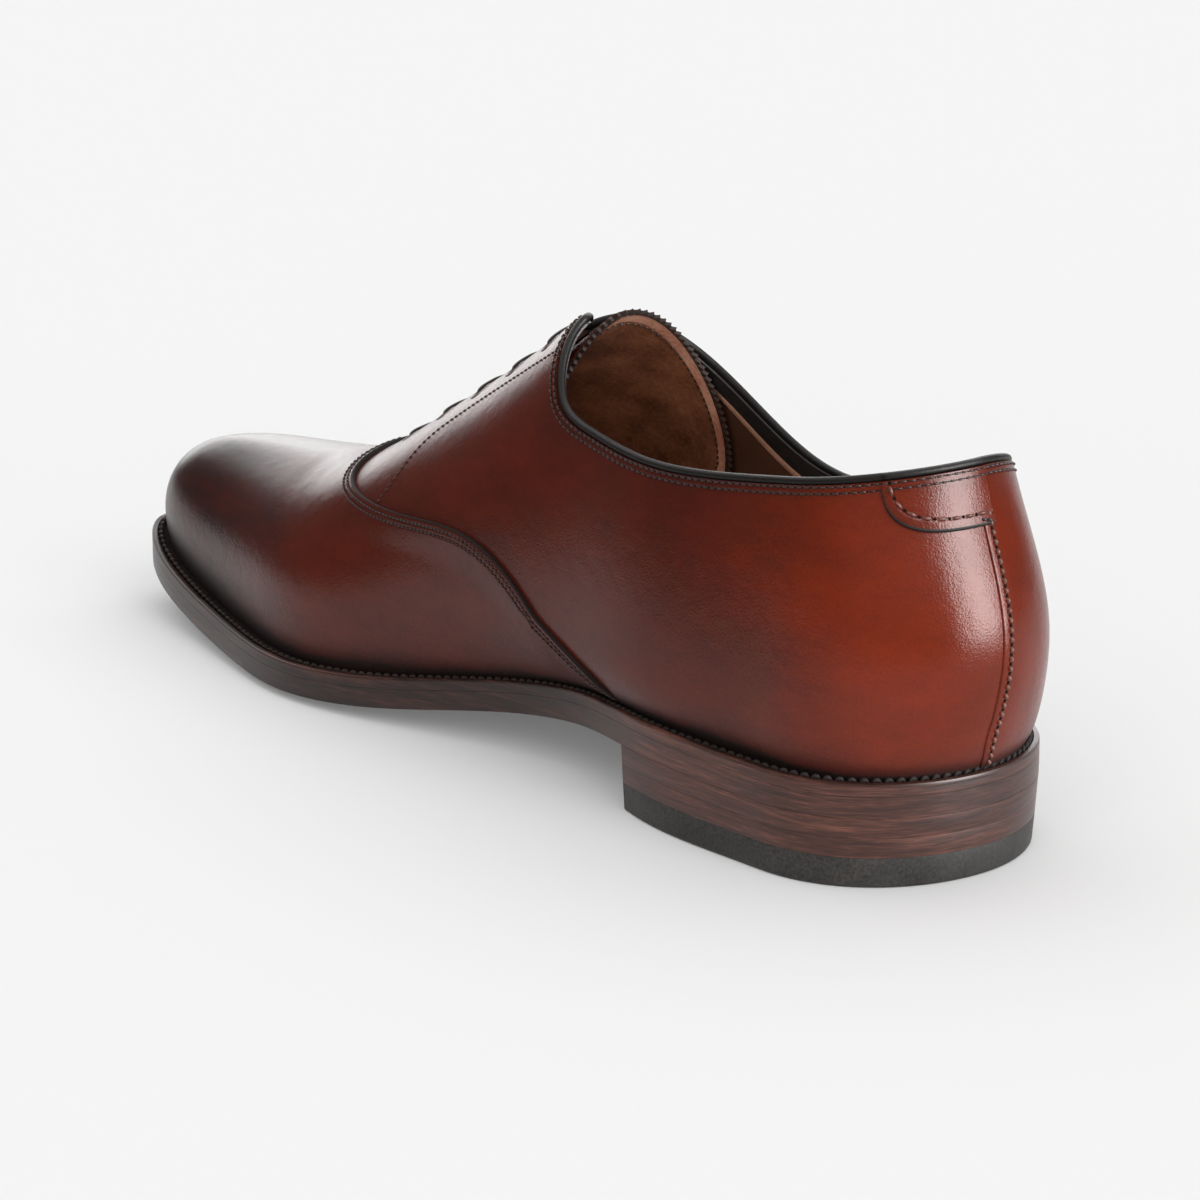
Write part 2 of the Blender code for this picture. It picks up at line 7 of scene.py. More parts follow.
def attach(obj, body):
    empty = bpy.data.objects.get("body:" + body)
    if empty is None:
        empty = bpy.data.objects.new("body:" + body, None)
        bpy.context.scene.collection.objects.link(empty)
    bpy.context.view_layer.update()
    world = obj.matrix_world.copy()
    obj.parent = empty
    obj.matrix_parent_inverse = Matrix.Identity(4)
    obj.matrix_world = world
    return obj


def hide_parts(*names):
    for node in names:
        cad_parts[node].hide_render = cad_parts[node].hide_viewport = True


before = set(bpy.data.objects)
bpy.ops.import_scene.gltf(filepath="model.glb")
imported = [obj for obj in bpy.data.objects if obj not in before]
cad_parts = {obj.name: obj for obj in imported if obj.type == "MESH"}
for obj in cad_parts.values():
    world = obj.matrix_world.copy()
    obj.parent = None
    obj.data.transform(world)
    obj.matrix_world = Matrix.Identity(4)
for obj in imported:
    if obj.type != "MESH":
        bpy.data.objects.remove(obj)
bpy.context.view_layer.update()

# The studio: pale paper under and behind the shoe, an even bright ceiling, and a tall softbox behind the
# heel, whose mirror image is the upright gleam on the back of the shoe. The camera looks down on the inner
# side from behind, through a long lens. Lengths are in millimetres from the back of the heel.
MM = 0.001
TIP = 304.0                     # toe end of the sole
TIP_Y = 6.0                     # how far the toe end swings to the inner side
CAMERA_AIM = (137.9, -5.6, 31.7)
CAMERA_AZIMUTH = 228.64
CAMERA_ELEVATION = 16.38
CAMERA_DISTANCE = 967.35
CAMERA_REACH = 100.0            # far end of what it sees, in metres
PICTURE = 1200                  # pixels across the picture
FOCAL = 3941.0                  # focal length in those pixels
SENSOR = 36.0
PAPER = 0.69
PAPER_GLOW = 0.13               # light that the paper, lit from below, gives off itself
PAPER_NEAR = 420.0              # from the aim point to the paper's edge towards the camera, and to its left
PAPER_FAR = 2600.0
PAPER_HALF = 1700.0
STUDIO_HALF = 9000.0
STUDIO_TONE = 0.04              # dark floor round the paper
STUDIO_DROP = -2.0
CEILING_BACK = 1.56             # brightness of the ceiling behind the shoe and over the camera
CEILING_FRONT = 0.68
CEILING_FROM = 0.42             # sine of the elevation where the ceiling starts to show
CEILING_FULL = 0.66
LOW_WALLS = 0.12
WHITE = (1.0, 1.0, 1.0, 1.0)
# Softboxes: azimuth, elevation, distance, width, height, brightness
SOFTBOXES = {
    "paper_wall": (52.0, 15.0, 1900.0, 2300.0, 1000.0, 2.9),
    "heel_softbox": (287.0, 19.0, 1300.0, 640.0, 1040.0, 19.0),
}
# Wide soft lamps that only fill shadows: azimuth, elevation, spread in degrees, brightness
FILL_LAMPS = {
    "arch_fill": (212.0, 16.0, 60.0, 1.3),
    "collar_fill": (262.0, 30.0, 45.0, 1.2),
}
FILL_DISTANCE = 1500.0


def node_points(node):
    """Corner points of a CAD node, as rows of metres."""
    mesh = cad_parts[node].data
    points = np.empty(len(mesh.vertices) * 3)
    mesh.vertices.foreach_get("co", points)
    return points.reshape(-1, 3)


sole_points = node_points("outsole")
foremost = sole_points[np.argmax(sole_points[:, 0])]
HEEL_BACK = np.array([foremost[0] - TIP * MM, foremost[1] - TIP_Y * MM, 0.0])


def row_frame(points):
    """Millimetres from the back of the heel, turned into metres of the row frame."""
    return np.asarray(points, float) * MM + HEEL_BACK


def stand(name, data, azimuth, elevation, distance):
    """Puts a camera or lamp at a bearing, in degrees, from the aim point, at which it looks along its own
    -Z."""
    a, e = np.radians([azimuth, elevation])
    back = np.array([np.sin(a) * np.cos(e), -np.cos(a) * np.cos(e), np.sin(e)])
    right = np.array([np.cos(a), np.sin(a), 0.0])
    made = np.eye(4)
    place = row_frame(CAMERA_AIM) + back * distance * MM
    made[:3] = np.stack([right, np.cross(back, right), back, place], -1)
    thing = bpy.data.objects.new(name, data)
    thing.matrix_world = Matrix(made.tolist())
    bpy.context.scene.collection.objects.link(thing)
    return thing


def add_node(tree, kind, links=None, **settings):
    """A shader node: settings are its own options, links its inputs, each a plain value or another node's
    output."""
    made = tree.nodes.new("ShaderNode" + kind)
    for name, value in settings.items():
        setattr(made, name, value)
    for name, value in (links or {}).items():
        if isinstance(value, bpy.types.NodeSocket):
            tree.links.new(value, made.inputs[name])
        else:
            made.inputs[name].default_value = value
    return made


def graded(tree, value, start, end, low, high, kind="SMOOTHSTEP"):
    """Output that goes from low to high while value goes from start to end."""
    links = {"Value": value, "From Min": start, "From Max": end, "To Min": low, "To Max": high}
    return add_node(tree, "MapRange", links, interpolation_type=kind).outputs[0]


def new_finish(name, **constants):
    """A material with one Principled shader; constants are its plain socket values, with _ for a space."""
    made = bpy.data.materials.new(name)
    made.use_nodes = True
    shader = made.node_tree.nodes["Principled BSDF"]
    for socket, value in constants.items():
        shader.inputs[socket.replace("_", " ")].default_value = value
    return made, made.node_tree


camera_data = bpy.data.cameras.new("camera")
camera_data.sensor_width = SENSOR
camera_data.lens = SENSOR * FOCAL / PICTURE
camera_data.clip_end = CAMERA_REACH
bpy.context.scene.camera = stand("camera", camera_data, CAMERA_AZIMUTH, CAMERA_ELEVATION, CAMERA_DISTANCE)
bpy.context.scene.view_settings.view_transform = "Standard"

world = bpy.data.worlds.new("studio")
world.use_nodes = True
bpy.context.scene.world = world
sky = world.node_tree
bearing = add_node(sky, "TexCoord").outputs["Generated"]
aside = np.radians(CAMERA_AZIMUTH)
away = (-np.sin(aside), np.cos(aside), 0.0)
behind = add_node(sky, "VectorMath", {0: bearing, 1: away}, operation="DOT_PRODUCT").outputs["Value"]
bright = graded(sky, behind, -0.5, 0.5, CEILING_FRONT, CEILING_BACK)
height = add_node(sky, "SeparateXYZ", {0: bearing}).outputs["Z"]
ceiling = graded(sky, height, CEILING_FROM, CEILING_FULL, LOW_WALLS, bright)
sky.links.new(ceiling, sky.nodes["Background"].inputs["Strength"])
sky.nodes["Background"].inputs["Color"].default_value = WHITE

for name, (azimuth, elevation, distance, width, height, brightness) in SOFTBOXES.items():
    lamp_data = bpy.data.lights.new(name, "AREA")
    lamp_data.shape = "RECTANGLE"
    lamp_data.size = width * MM
    lamp_data.size_y = height * MM
    lamp_data.energy = brightness * np.pi * width * height * MM * MM
    lamp = stand(name, lamp_data, azimuth, elevation, distance)
    lamp.visible_diffuse = False
    lamp.visible_camera = False

for name, (azimuth, elevation, spread, brightness) in FILL_LAMPS.items():
    lamp_data = bpy.data.lights.new(name, "SUN")
    lamp_data.angle = np.radians(spread)
    lamp_data.energy = brightness
    lamp = stand(name, lamp_data, azimuth, elevation, FILL_DISTANCE)
    lamp.visible_glossy = False


def lay_floor(name, right, away, height, tone, glow=0.0):
    """A level sheet of the studio floor, four sided, from its extents to the camera's right and away from
    it."""
    finish = new_finish(name, Base_Color=(tone, tone, tone, 1.0), Roughness=0.9, Specular_IOR_Level=0.0,
                        Emission_Color=WHITE, Emission_Strength=glow)[0]
    u, v = np.meshgrid(right, away)
    corners = np.stack([np.cos(aside) * u - np.sin(aside) * v + CAMERA_AIM[0],
                        np.sin(aside) * u + np.cos(aside) * v + CAMERA_AIM[1], u * 0 + height], -1)
    mesh = bpy.data.meshes.new(name)
    mesh.from_pydata(row_frame(corners.reshape(-1, 3)).tolist(), [], [(0, 1, 3, 2)])
    mesh.materials.append(finish)
    sheet = bpy.data.objects.new(name, mesh)
    bpy.context.scene.collection.objects.link(sheet)


lay_floor("paper", (-PAPER_NEAR, PAPER_HALF), (-PAPER_NEAR, PAPER_FAR), 0.0, PAPER, PAPER_GLOW)
lay_floor("studio_floor", (-STUDIO_HALF, STUDIO_HALF), (-STUDIO_HALF, STUDIO_HALF), STUDIO_DROP, STUDIO_TONE)


# The insole: a leather board with a thin sock glued on it, inside the upper. Its outline is the sole's,
# drawn in by the welt and the wall of the upper, and it climbs from the ball to the heel seat.
HEEL_X = 37.0                   # widest station of the heel, where its round back starts
HEEL_LENGTH = 37.0
HEEL_ROUND = 2.25               # power of the heel's plan curve: 2 is an ellipse, more is fuller
TOE_MARGIN = 5.0                # welt showing in front of the toe
WALL = 2.2                      # leather and lining of the upper
WELT = 3.0                      # thickness of the welt
SEAT_TIP = 22.6                 # height of the welt's top at the toe end
SOCK_RISE = 1.5                 # top of the sock above the welt
SOCK_INSET = 2.6
SOLE_COLUMNS = ("x", "seat", "inner", "outer", "welt_in", "welt_out")
SOLE_ROWS = (
    (37, 24.5, 38.5, 35.5, 4.0, 4.0),
    (75, 24.8, 37.0, 35.5, 3.0, 4.0),
    (105, 22.6, 28.5, 39.0, 2.5, 4.0),
    (140, 17.6, 28.0, 46.0, 2.5, 4.0),
    (175, 12.0, 37.0, 51.0, 4.5, 4.5),
    (205, 10.0, 41.5, 54.0, 5.0, 5.0),
    (232, 10.5, 37.0, 51.0, 5.0, 5.0),
    (258, 12.9, 30.5, 42.5, 5.0, 5.0),
    (280, 16.6, 24.5, 29.5, 5.0, 5.0),
)
SOLE = dict(zip(SOLE_COLUMNS, np.array(SOLE_ROWS, float).T))


def spline(knots, values, at, start_slope=None, end_slope=None):
    """Cubic spline through rows of knots; an end whose slope is None is left without curvature."""
    knots = np.asarray(knots, float)
    values = np.asarray(values, float)
    at = np.asarray(at, float)
    step = np.diff(knots)
    rise = np.diff(values) / step
    matrix = np.zeros((len(knots), len(knots)))
    right = np.zeros(len(knots))
    inside = np.arange(1, len(knots) - 1)
    matrix[inside, inside - 1] = step[:-1]
    matrix[inside, inside] = 2 * (step[:-1] + step[1:])
    matrix[inside, inside + 1] = step[1:]
    right[inside] = 6 * np.diff(rise)
    matrix[0, 0] = 1
    matrix[-1, -1] = 1
    if start_slope is not None:
        matrix[0, :2] = 2 * step[0], step[0]
        right[0] = 6 * (rise[0] - start_slope)
    if end_slope is not None:
        matrix[-1, -2:] = step[-1], 2 * step[-1]
        right[-1] = 6 * (end_slope - rise[-1])
    bend = np.linalg.solve(matrix, right)
    j = np.clip(np.searchsorted(knots, at) - 1, 0, len(knots) - 2)
    a = (knots[j + 1] - at) / step[j]
    b = (at - knots[j]) / step[j]
    curve = (a ** 3 - a) * bend[j] + (b ** 3 - b) * bend[j + 1]
    return a * values[j] + b * values[j + 1] + curve * step[j] ** 2 / 6


def smooth_step(value):
    """Rises from 0 to 1 with level ends."""
    value = np.clip(value, 0, 1)
    return value * value * (3 - 2 * value)


def along(x, column, tip_value, tip_x):
    """A table column at x, splined in the root of the distance from the tip, so that the toe closes
    round."""
    def root(station):
        return np.sqrt(np.maximum(0.0, 1 - np.asarray(station, float) / tip_x))
    knots = np.concatenate([[0.0], root(SOLE["x"][::-1])])
    values = np.concatenate([[tip_value], column[::-1]])
    return spline(knots, values, np.minimum(root(x), knots[-1]), None, 0.0)


def seat(x):
    """Height of the welt's top face at x."""
    heights = np.append(SOLE["seat"], SEAT_TIP)
    return spline(np.append(SOLE["x"], TIP), heights, np.clip(x, HEEL_X, TIP), 0.0, None)


def half_width(side, x, welt_share, inset):
    """Signed half width of the sole at x, drawn in by a share of the welt and by an inset."""
    edge, welt = ("inner", "welt_in") if side > 0 else ("outer", "welt_out")
    column = SOLE[edge] - welt_share * SOLE[welt] - inset
    return side * along(x, column, side * TIP_Y, TIP - welt_share * TOE_MARGIN - inset)


def half_outline(side, welt_share, inset, front=None):
    """Half of a sole outline as x and y, from the toe end, or a straight front, to the back of the heel."""
    tip = TIP - welt_share * TOE_MARGIN - inset
    x = np.linspace(front or HEEL_X, HEEL_X, 24)
    if front is None:
        x = tip * (1 - np.linspace(0, np.sqrt(1 - HEEL_X / tip), 130) ** 2)
    y = half_width(side, x, welt_share, inset)
    angle = np.linspace(0, np.pi / 2, 44)[1:]
    depth = HEEL_LENGTH - inset - welt_share * SOLE["welt_in"][0]
    heel_y = y[-1] * np.sqrt(np.maximum(0, 1 - np.sin(angle) ** HEEL_ROUND))
    return np.append(x, HEEL_X - depth * np.sin(angle)), np.append(y, heel_y)


def grid_quads(rows, columns, start=0):
    """Corner numbers of the quads of a grid whose points are listed row by row."""
    corner = start + np.arange((rows - 1) * columns).reshape(rows - 1, columns)[:, :-1]
    return np.stack([corner, corner + 1, corner + columns + 1, corner + columns], -1).reshape(-1, 4)


def ring_quads(rings, count, start=0):
    """Corner numbers of the quads between neighbouring closed rings of count points each."""
    here = np.arange(count)
    following = (here + 1) % count
    low = start + np.arange(rings - 1)[:, None] * count
    quads = [low + here, low + following, low + count + following, low + count + here]
    return np.stack(quads, -1).reshape(-1, 4)


def sole_sides(welt_share, inset, height, front=None):
    """Both halves of a sole outline as rows of points, inner and outer, at a height over x."""
    x, inner_y = half_outline(1, welt_share, inset, front)
    outer_y = half_outline(-1, welt_share, inset, front)[1]
    return np.stack([x, inner_y, height(x)], -1), np.stack([x, outer_y, height(x)], -1)


def plate(profile, front=None, crown=None, across=25):
    """Sole-shaped plate: rings of the outline follow a profile of (welt share, inset, height over x) from
    the top face down the edge to the underside, and both faces are grids across. The crown lowers the
    underside."""
    share = np.linspace(0, 1, across)
    rings = []
    caps = []
    for number, (welt_share, inset, height) in enumerate(profile):
        inner, outer = sole_sides(welt_share, inset, height, front)
        front_line = outer[0] + (inner[0] - outer[0]) * share[1:-1, None]
        rings.append(np.concatenate([inner, outer[::-1], front_line]))
        if number in (0, len(profile) - 1):
            caps.append(outer[:, None] + (inner - outer)[:, None] * share[None, :, None])
    if crown:
        belly = crown(caps[1][..., 0]) * (1 - (2 * share - 1) ** 4)
        caps[1][..., 2] = np.maximum(0.0, caps[1][..., 2] - belly)
    rows = len(caps[0])
    points = np.concatenate([cap.reshape(-1, 3) for cap in caps] + rings)
    quads = [grid_quads(rows, across), grid_quads(rows, across, rows * across),
             ring_quads(len(rings), len(rings[0]), 2 * rows * across)]
    return points, np.concatenate(quads)


def new_group(name, inputs, outputs):
    """A shader group with named number inputs, given with their defaults, and number outputs."""
    tree = bpy.data.node_groups.new(name, "ShaderNodeTree")
    for label, value in inputs.items():
        socket = tree.interface.new_socket(label, in_out="INPUT", socket_type="NodeSocketFloat")
        socket.default_value = value
    for label in outputs:
        tree.interface.new_socket(label, in_out="OUTPUT", socket_type="NodeSocketFloat")
    return tree, tree.nodes.new("NodeGroupInput").outputs, tree.nodes.new("NodeGroupOutput").inputs


def math(tree, operation, first, second=0.0):
    """Output of a Math node on two numbers or outputs."""
    return add_node(tree, "Math", {0: first, 1: second}, operation=operation).outputs[0]


def blend(tree, *terms, plus=0.0, clamp=False):
    """Sum of plus and of outputs, each times its weight."""
    total = plus
    for value, weight in terms:
        last = add_node(tree, "Math", {0: value, 1: weight, 2: total}, operation="MULTIPLY_ADD")
        total = last.outputs[0]
    last.use_clamp = clamp
    return total


def noise(tree, scale, detail=2.0, roughness=0.5, place=None):
    """Noise output in the object's own metres, or in the given place."""
    if place is None:
        place = add_node(tree, "TexCoord").outputs["Object"]
    links = {"Vector": place, "Scale": scale, "Detail": detail, "Roughness": roughness}
    return add_node(tree, "TexNoise", links).outputs[0]


def read(tree, *keys):
    """Outputs that read numbers stored on the mesh."""
    return [add_node(tree, "Attribute", attribute_name=key).outputs["Fac"] for key in keys]


def ramp(tree, value, *stops):
    """Colour output of a ramp over value; stops are rows of place and colour."""
    made = add_node(tree, "ValToRGB", {"Fac": value})
    elements = made.color_ramp.elements
    while len(elements) < len(stops):
        elements.new(0.5)
    for element, (place, colour) in zip(elements, stops):
        element.position = place
        element.color = (*colour, 1.0)
    return made.outputs["Color"]


def dress(made, colour, height, strength, depth, roughness=None):
    """Wires a finish: its colour, a bump of so many millimetres, and roughness where that varies."""
    tree = made.node_tree
    shader = tree.nodes["Principled BSDF"]
    raised = add_node(tree, "Bump", {"Height": height, "Strength": strength, "Distance": depth * MM})
    tree.links.new(colour, shader.inputs["Base Color"])
    tree.links.new(raised.outputs["Normal"], shader.inputs["Normal"])
    if roughness is not None:
        tree.links.new(roughness, shader.inputs["Roughness"])
    return made


def add_piece(name, points, faces, values=None, sharp=35.0):
    """A piece of the shoe from points in millimetres. faces are rows of quads and finish; values are
    numbers per point for the finish to read. Doubles are merged, faces turned outward, and the piece
    rides on the shoe."""
    mesh = bpy.data.meshes.new(name)
    quads = np.concatenate([rows for rows, _ in faces])
    mesh.from_pydata(row_frame(points).tolist(), [], quads.tolist())
    numbers = []
    for number, (rows, finish) in enumerate(faces):
        mesh.materials.append(finish)
        numbers.append(np.full(len(rows), number, np.int32))
    mesh.polygons.foreach_set("material_index", np.concatenate(numbers))
    for key, value in (values or {}).items():
        stored = mesh.attributes.new(key, "FLOAT", "POINT")
        stored.data.foreach_set("value", np.ravel(value).astype(np.float32))
    work = bmesh.new()
    work.from_mesh(mesh)
    bmesh.ops.remove_doubles(work, verts=work.verts, dist=1e-6)
    bmesh.ops.dissolve_degenerate(work, edges=work.edges, dist=1e-7)
    bmesh.ops.recalc_face_normals(work, faces=work.faces)
    work.to_mesh(mesh)
    work.free()
    mesh.shade_smooth()
    mesh.set_sharp_from_angle(angle=np.radians(sharp))
    made = bpy.data.objects.new(name, mesh)
    bpy.context.scene.collection.objects.link(made)
    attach(made, "root")
    return made


def make_leather_grain():
    """Leather's surface: pores are smooth Voronoi cells of the given size with fine noise between them,
    swell is the slow unevenness of the hide, cloud the drift of colour that hand finishing leaves."""
    tree, given, result = new_group("leather_grain", {"Pore mm": 0.6}, ("Height", "Swell", "Cloud"))
    place = add_node(tree, "TexCoord").outputs["Object"]
    scale = math(tree, "DIVIDE", 1000.0, given["Pore mm"])
    pores = add_node(tree, "TexVoronoi", {"Vector": place, "Scale": scale}, feature="F1").outputs["Distance"]
    fine = noise(tree, math(tree, "MULTIPLY", scale, 1.7), 3.0)
    brushed = add_node(tree, "Mapping", {"Vector": place, "Scale": (0.6, 0.8, 1.4)}).outputs[0]
    tree.links.new(blend(tree, (pores, 0.7), (fine, 1.0)), result["Height"])
    tree.links.new(noise(tree, 260.0), result["Swell"])
    tree.links.new(noise(tree, 46.0, 6.0, 0.72, brushed), result["Cloud"])
    return tree


leather_grain = make_leather_grain()


def make_plain_leather(name, dark, light, pore, bump, **constants):
    """Undyed or evenly dyed leather: colour drifts between dark and light, pores raise the surface by
    bump."""
    made, tree = new_finish(name, **constants)
    grain = add_node(tree, "Group", {"Pore mm": pore}, node_tree=leather_grain).outputs
    return dress(made, ramp(tree, grain["Cloud"], (0.3, dark), (0.7, light)), grain["Height"], 1.0, bump)


sock_leather = make_plain_leather("sock_leather", (0.20, 0.095, 0.045), (0.28, 0.14, 0.070), 0.9, 0.04,
                                  Roughness=0.6)
SOCK_PROFILE = ((1, SOCK_INSET + 0.5, lambda x: seat(x) + SOCK_RISE),
                (1, SOCK_INSET, lambda x: seat(x) + SOCK_RISE - 0.4),
                (1, SOCK_INSET, lambda x: seat(x) - WELT + 0.2),
                (1, SOCK_INSET + 0.2, lambda x: seat(x) - WELT))
sock_points, sock_quads = plate(SOCK_PROFILE)
sock = add_piece("insole_sock", sock_points, [(sock_quads, sock_leather)])
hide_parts("insole")


# The quarters: two panels of burnished calf that carry the facings and meet at the back. The outer one laps
# over the inner one down the back seam. Both are dyed amber at the heel and darken forwards and at edges; the
# amber is partly painted light where light falls on the heel, and the dark along the welt is painted shade.
GAP = 0.3
FACING_TOP = 131.0              # top of the facings, where slit and top line meet
SLIT = 2.0                      # half of the opening between the facings
SLIT_FADE = 7.0                 # length over which the slit closes at the throat
# Top corners of the facings, cut off: width and length per side
FACING_CUT = {1: (5.0, 4.5), -1: (13.0, 9.0)}
COLLAR_BACK = 8.0               # station of the top line at the back seam
CALF = 1.05                     # thickness of the calf without its lining
TUCK = 0.6                      # how far the leather runs down past the welt's top
WIDEST_T = 0.3                  # share of the wall below its widest point
BACK_LAP = 0.4                  # rise of the outer quarter where it laps over the inner one
BACK_LAP_TURN = 1.6             # degrees past the middle of the back where that lap ends, at the top line
SEAM_BOW = 5.5                  # degrees that the seam bends to the inner side below its middle
SEAM_FOOT = 0.6                 # share of that bend which is lost again at the welt
BACK_LAP_FADE = 17.0            # degrees over which the rise sinks away
LAST_COLUMNS = ("bulge_in", "bulge_out", "widest", "ridge", "ridge_y", "side_pull", "top_pull")
LAST_ROWS = (
    (1.8, 1.8, 12.0, 150.0, 0.0, 0.30, 0.47),
    (3.8, 2.3, 12.0, 138.0, 0.0, 0.40, 0.49),
    (8.2, 2.4, 15.5, 125.0, 0.0, 0.42, 0.51),
    (7.0, 2.5, 23.0, 100.5, 0.0, 0.48, 0.50),
    (2.0, 1.5, 17.0, 78.0, 0.5, 0.48, 0.50),
    (0.5, 1.0, 13.0, 60.0, 1.5, 0.50, 0.55),
    (0.5, 0.5, 12.0, 53.0, 2.5, 0.55, 0.55),
    (0.5, 0.5, 11.5, 50.5, 3.5, 0.55, 0.55),
    (1.0, 1.0, 11.0, 47.9, 4.5, 0.58, 0.58),
)
LAST = dict(zip(LAST_COLUMNS, np.array(LAST_ROWS, float).T))
# Back of the heel seen from the side: height, station
BACK_Z, BACK_X = np.array(((24.5, 2.4), (27.5, 0.5), (32, -1.2), (42, -3.6), (55, -4.4), (70, -0.2),
                           (85, 5.8), (100, 9.5))).T
# Top line: station, height on the inner side, height on the outer side
TOPLINE_X, TOPLINE_IN, TOPLINE_OUT = np.array((
    (131, 105.4, 102), (128, 98.9, 97.6), (120, 89.2, 90), (104, 84.7, 78.6), (84, 83.1, 70.4), (60, 84, 71),
    (35, 87.2, 79.4), (8, 91.7, 91.7)), float).T
# Vamp edge: share of the way from welt to ridge, station on the inner side, on the outer side
VAMP_T, VAMP_IN, VAMP_OUT = np.array((
    (0, 88, 93), (0.15, 97.5, 104), (0.3, 117, 124), (0.5, 167, 170), (0.7, 198, 199), (0.85, 204.5, 204.5),
    (1, 203, 203))).T
THROAT = VAMP_IN[-1]
CORNER_BACK = (THROAT - FACING_TOP) / (THROAT - HEEL_X)
AMBER = (0.208, 0.0225, 0.0052)
CHESTNUT = (0.088, 0.0122, 0.0052)
OXBLOOD = (0.043, 0.0072, 0.0043)
NEAR_BLACK = (0.010, 0.005, 0.004)


def section(side, x):
    """Sizes of the upper's half section at x: foot point, bulge, ridge point and curve pulls."""
    tip = TIP - TOE_MARGIN
    foot_z = seat(x) + GAP
    return {
        "foot_y": half_width(side, x, 1.0, 0.0),
        "foot_z": foot_z,
        "bulge": side * along(x, LAST["bulge_in" if side > 0 else "bulge_out"], 0.0, tip),
        "widest": along(x, LAST["widest"], 0.0, tip),
        "ridge_z": foot_z + along(x, LAST["ridge"] - SOLE["seat"], 0.0, tip),
        "ridge_y": along(x, LAST["ridge_y"], TIP_Y, tip),
        "side_pull": along(x, LAST["side_pull"], LAST["side_pull"][-1], tip),
        "top_pull": along(x, LAST["top_pull"], LAST["top_pull"][-1], tip),
    }


def arch(sizes, t):
    """Half section: a parabola from the welt (t 0) to where the wall is upright (WIDEST_T), then a cubic
    curve with two pulls to the ridge (t 1)."""
    low = np.clip(t / WIDEST_T, 0, 1)
    u = np.clip((t - WIDEST_T) / (1 - WIDEST_T), 0, 1)
    second = 3 * u * (1 - u) ** 2
    third = 3 * u * u * (1 - u)
    side_y = sizes["foot_y"] + sizes["bulge"] * (1 - (1 - low) ** 2)
    side_z = sizes["foot_z"] + sizes["widest"] * low
    reach = (1 - u) ** 3 + second + third * sizes["top_pull"]
    climb = second * sizes["side_pull"] + third + u ** 3
    y = np.where(t < WIDEST_T, side_y, sizes["ridge_y"] + (side_y - sizes["ridge_y"]) * reach)
    z = np.where(t < WIDEST_T, side_z, side_z + (sizes["ridge_z"] - side_z) * climb)
    return y, z


def wall(side):
    """Outer face of the upper in front of the heel on one side, as a function of station x and share t."""
    def point(x, t):
        x, t = np.broadcast_arrays(np.asarray(x, float), np.asarray(t, float))
        y, z = arch(section(side, x), t)
        return np.stack([x, y, z], -1)
    return point


def heel_wall(turn, t):
    """Outer face round the heel: turn 0 is the inner side at HEEL_X, a half turn the outer side, the back
    seam midway. Plan curves are superellipses whose depth follows the heel's back at each height."""
    turn, t = np.broadcast_arrays(np.asarray(turn, float), np.asarray(t, float))
    spot = np.full(turn.shape, HEEL_X)
    inner_y, z = arch(section(1, spot), t)
    outer_y = arch(section(-1, spot), t)[0]
    depth = HEEL_X - spline(BACK_Z, BACK_X, np.clip(z, BACK_Z[0], BACK_Z[-1]))
    sine = np.clip(np.sin(turn), 0, 1)
    y = np.where(turn < np.pi / 2, inner_y, outer_y) * np.sqrt(np.maximum(0, 1 - sine ** HEEL_ROUND))
    return np.stack([HEEL_X - depth * np.sin(turn), y, z], -1)


def outward(surface, place, t, step, turned):
    """Unit normal of a surface of place and t, from neighbouring points; turned is its sign."""
    run = surface(place + step, t) - surface(place - step, t)
    climb = surface(place, np.minimum(t + 0.002, 1)) - surface(place, np.maximum(t - 0.002, 0))
    normal = np.cross(run, climb) * turned
    return normal / np.maximum(np.linalg.norm(normal, axis=-1, keepdims=True), 1e-9)


def wall_normal(side, x, t):
    """Outward normal in front of the heel."""
    return outward(wall(side), x, t, 0.1, -side)


def heel_normal(turn, t):
    """Outward normal round the heel."""
    return outward(heel_wall, turn, t, 0.01, 1)


def vamp_edge(side, t):
    """Station of the vamp's edge at share t."""
    return spline(VAMP_T, VAMP_IN if side > 0 else VAMP_OUT, t)


def column_x(side, back, t):
    """Station on a line of the quarter: back 0 follows the vamp's edge, back 1 is the section at HEEL_X."""
    return vamp_edge(side, t) * (1 - back) + HEEL_X * back


def highest(inside, shape):
    """Largest share t, by halving, for which inside(t) still holds."""
    low = np.full(shape, WIDEST_T)
    high = np.ones(shape)
    for _ in range(30):
        middle = (low + high) / 2
        below = inside(middle)
        low = np.where(below, middle, low)
        high = np.where(below, high, middle)
    return low


def topline_height(side, x):
    """Height of the top line at x, splined in the root of the distance behind the facings' top."""
    def root(station):
        return np.sqrt(np.maximum(0.0, FACING_TOP - np.asarray(station, float)))
    return spline(root(TOPLINE_X), TOPLINE_IN if side > 0 else TOPLINE_OUT, root(x))


def inside_quarter(side, x, t):
    """True below the quarter's edge: the slit in front of the facings' top, the top line behind it."""
    sizes = section(side, x)
    y, z = arch(sizes, t)
    cut, length = FACING_CUT[side]
    slit = SLIT * smooth_step((THROAT - x) / SLIT_FADE)
    slit = slit + cut * np.clip(1 - (x - FACING_TOP) / length, 0, 1) ** 1.5
    clear_of_slit = side * (y - sizes["ridge_y"]) > slit
    return clear_of_slit & ((x > FACING_TOP) | (z < topline_height(side, x)))


def heel_rim(turn):
    """Share t of the top line round the heel."""
    station = HEEL_X - (HEEL_X - COLLAR_BACK) * np.sin(turn)
    height = np.where(turn < np.pi / 2, topline_height(1, station), topline_height(-1, station))
    sizes = section(1, np.full(np.shape(turn), HEEL_X))
    return highest(lambda t: arch(sizes, t)[1] < height, np.shape(turn))


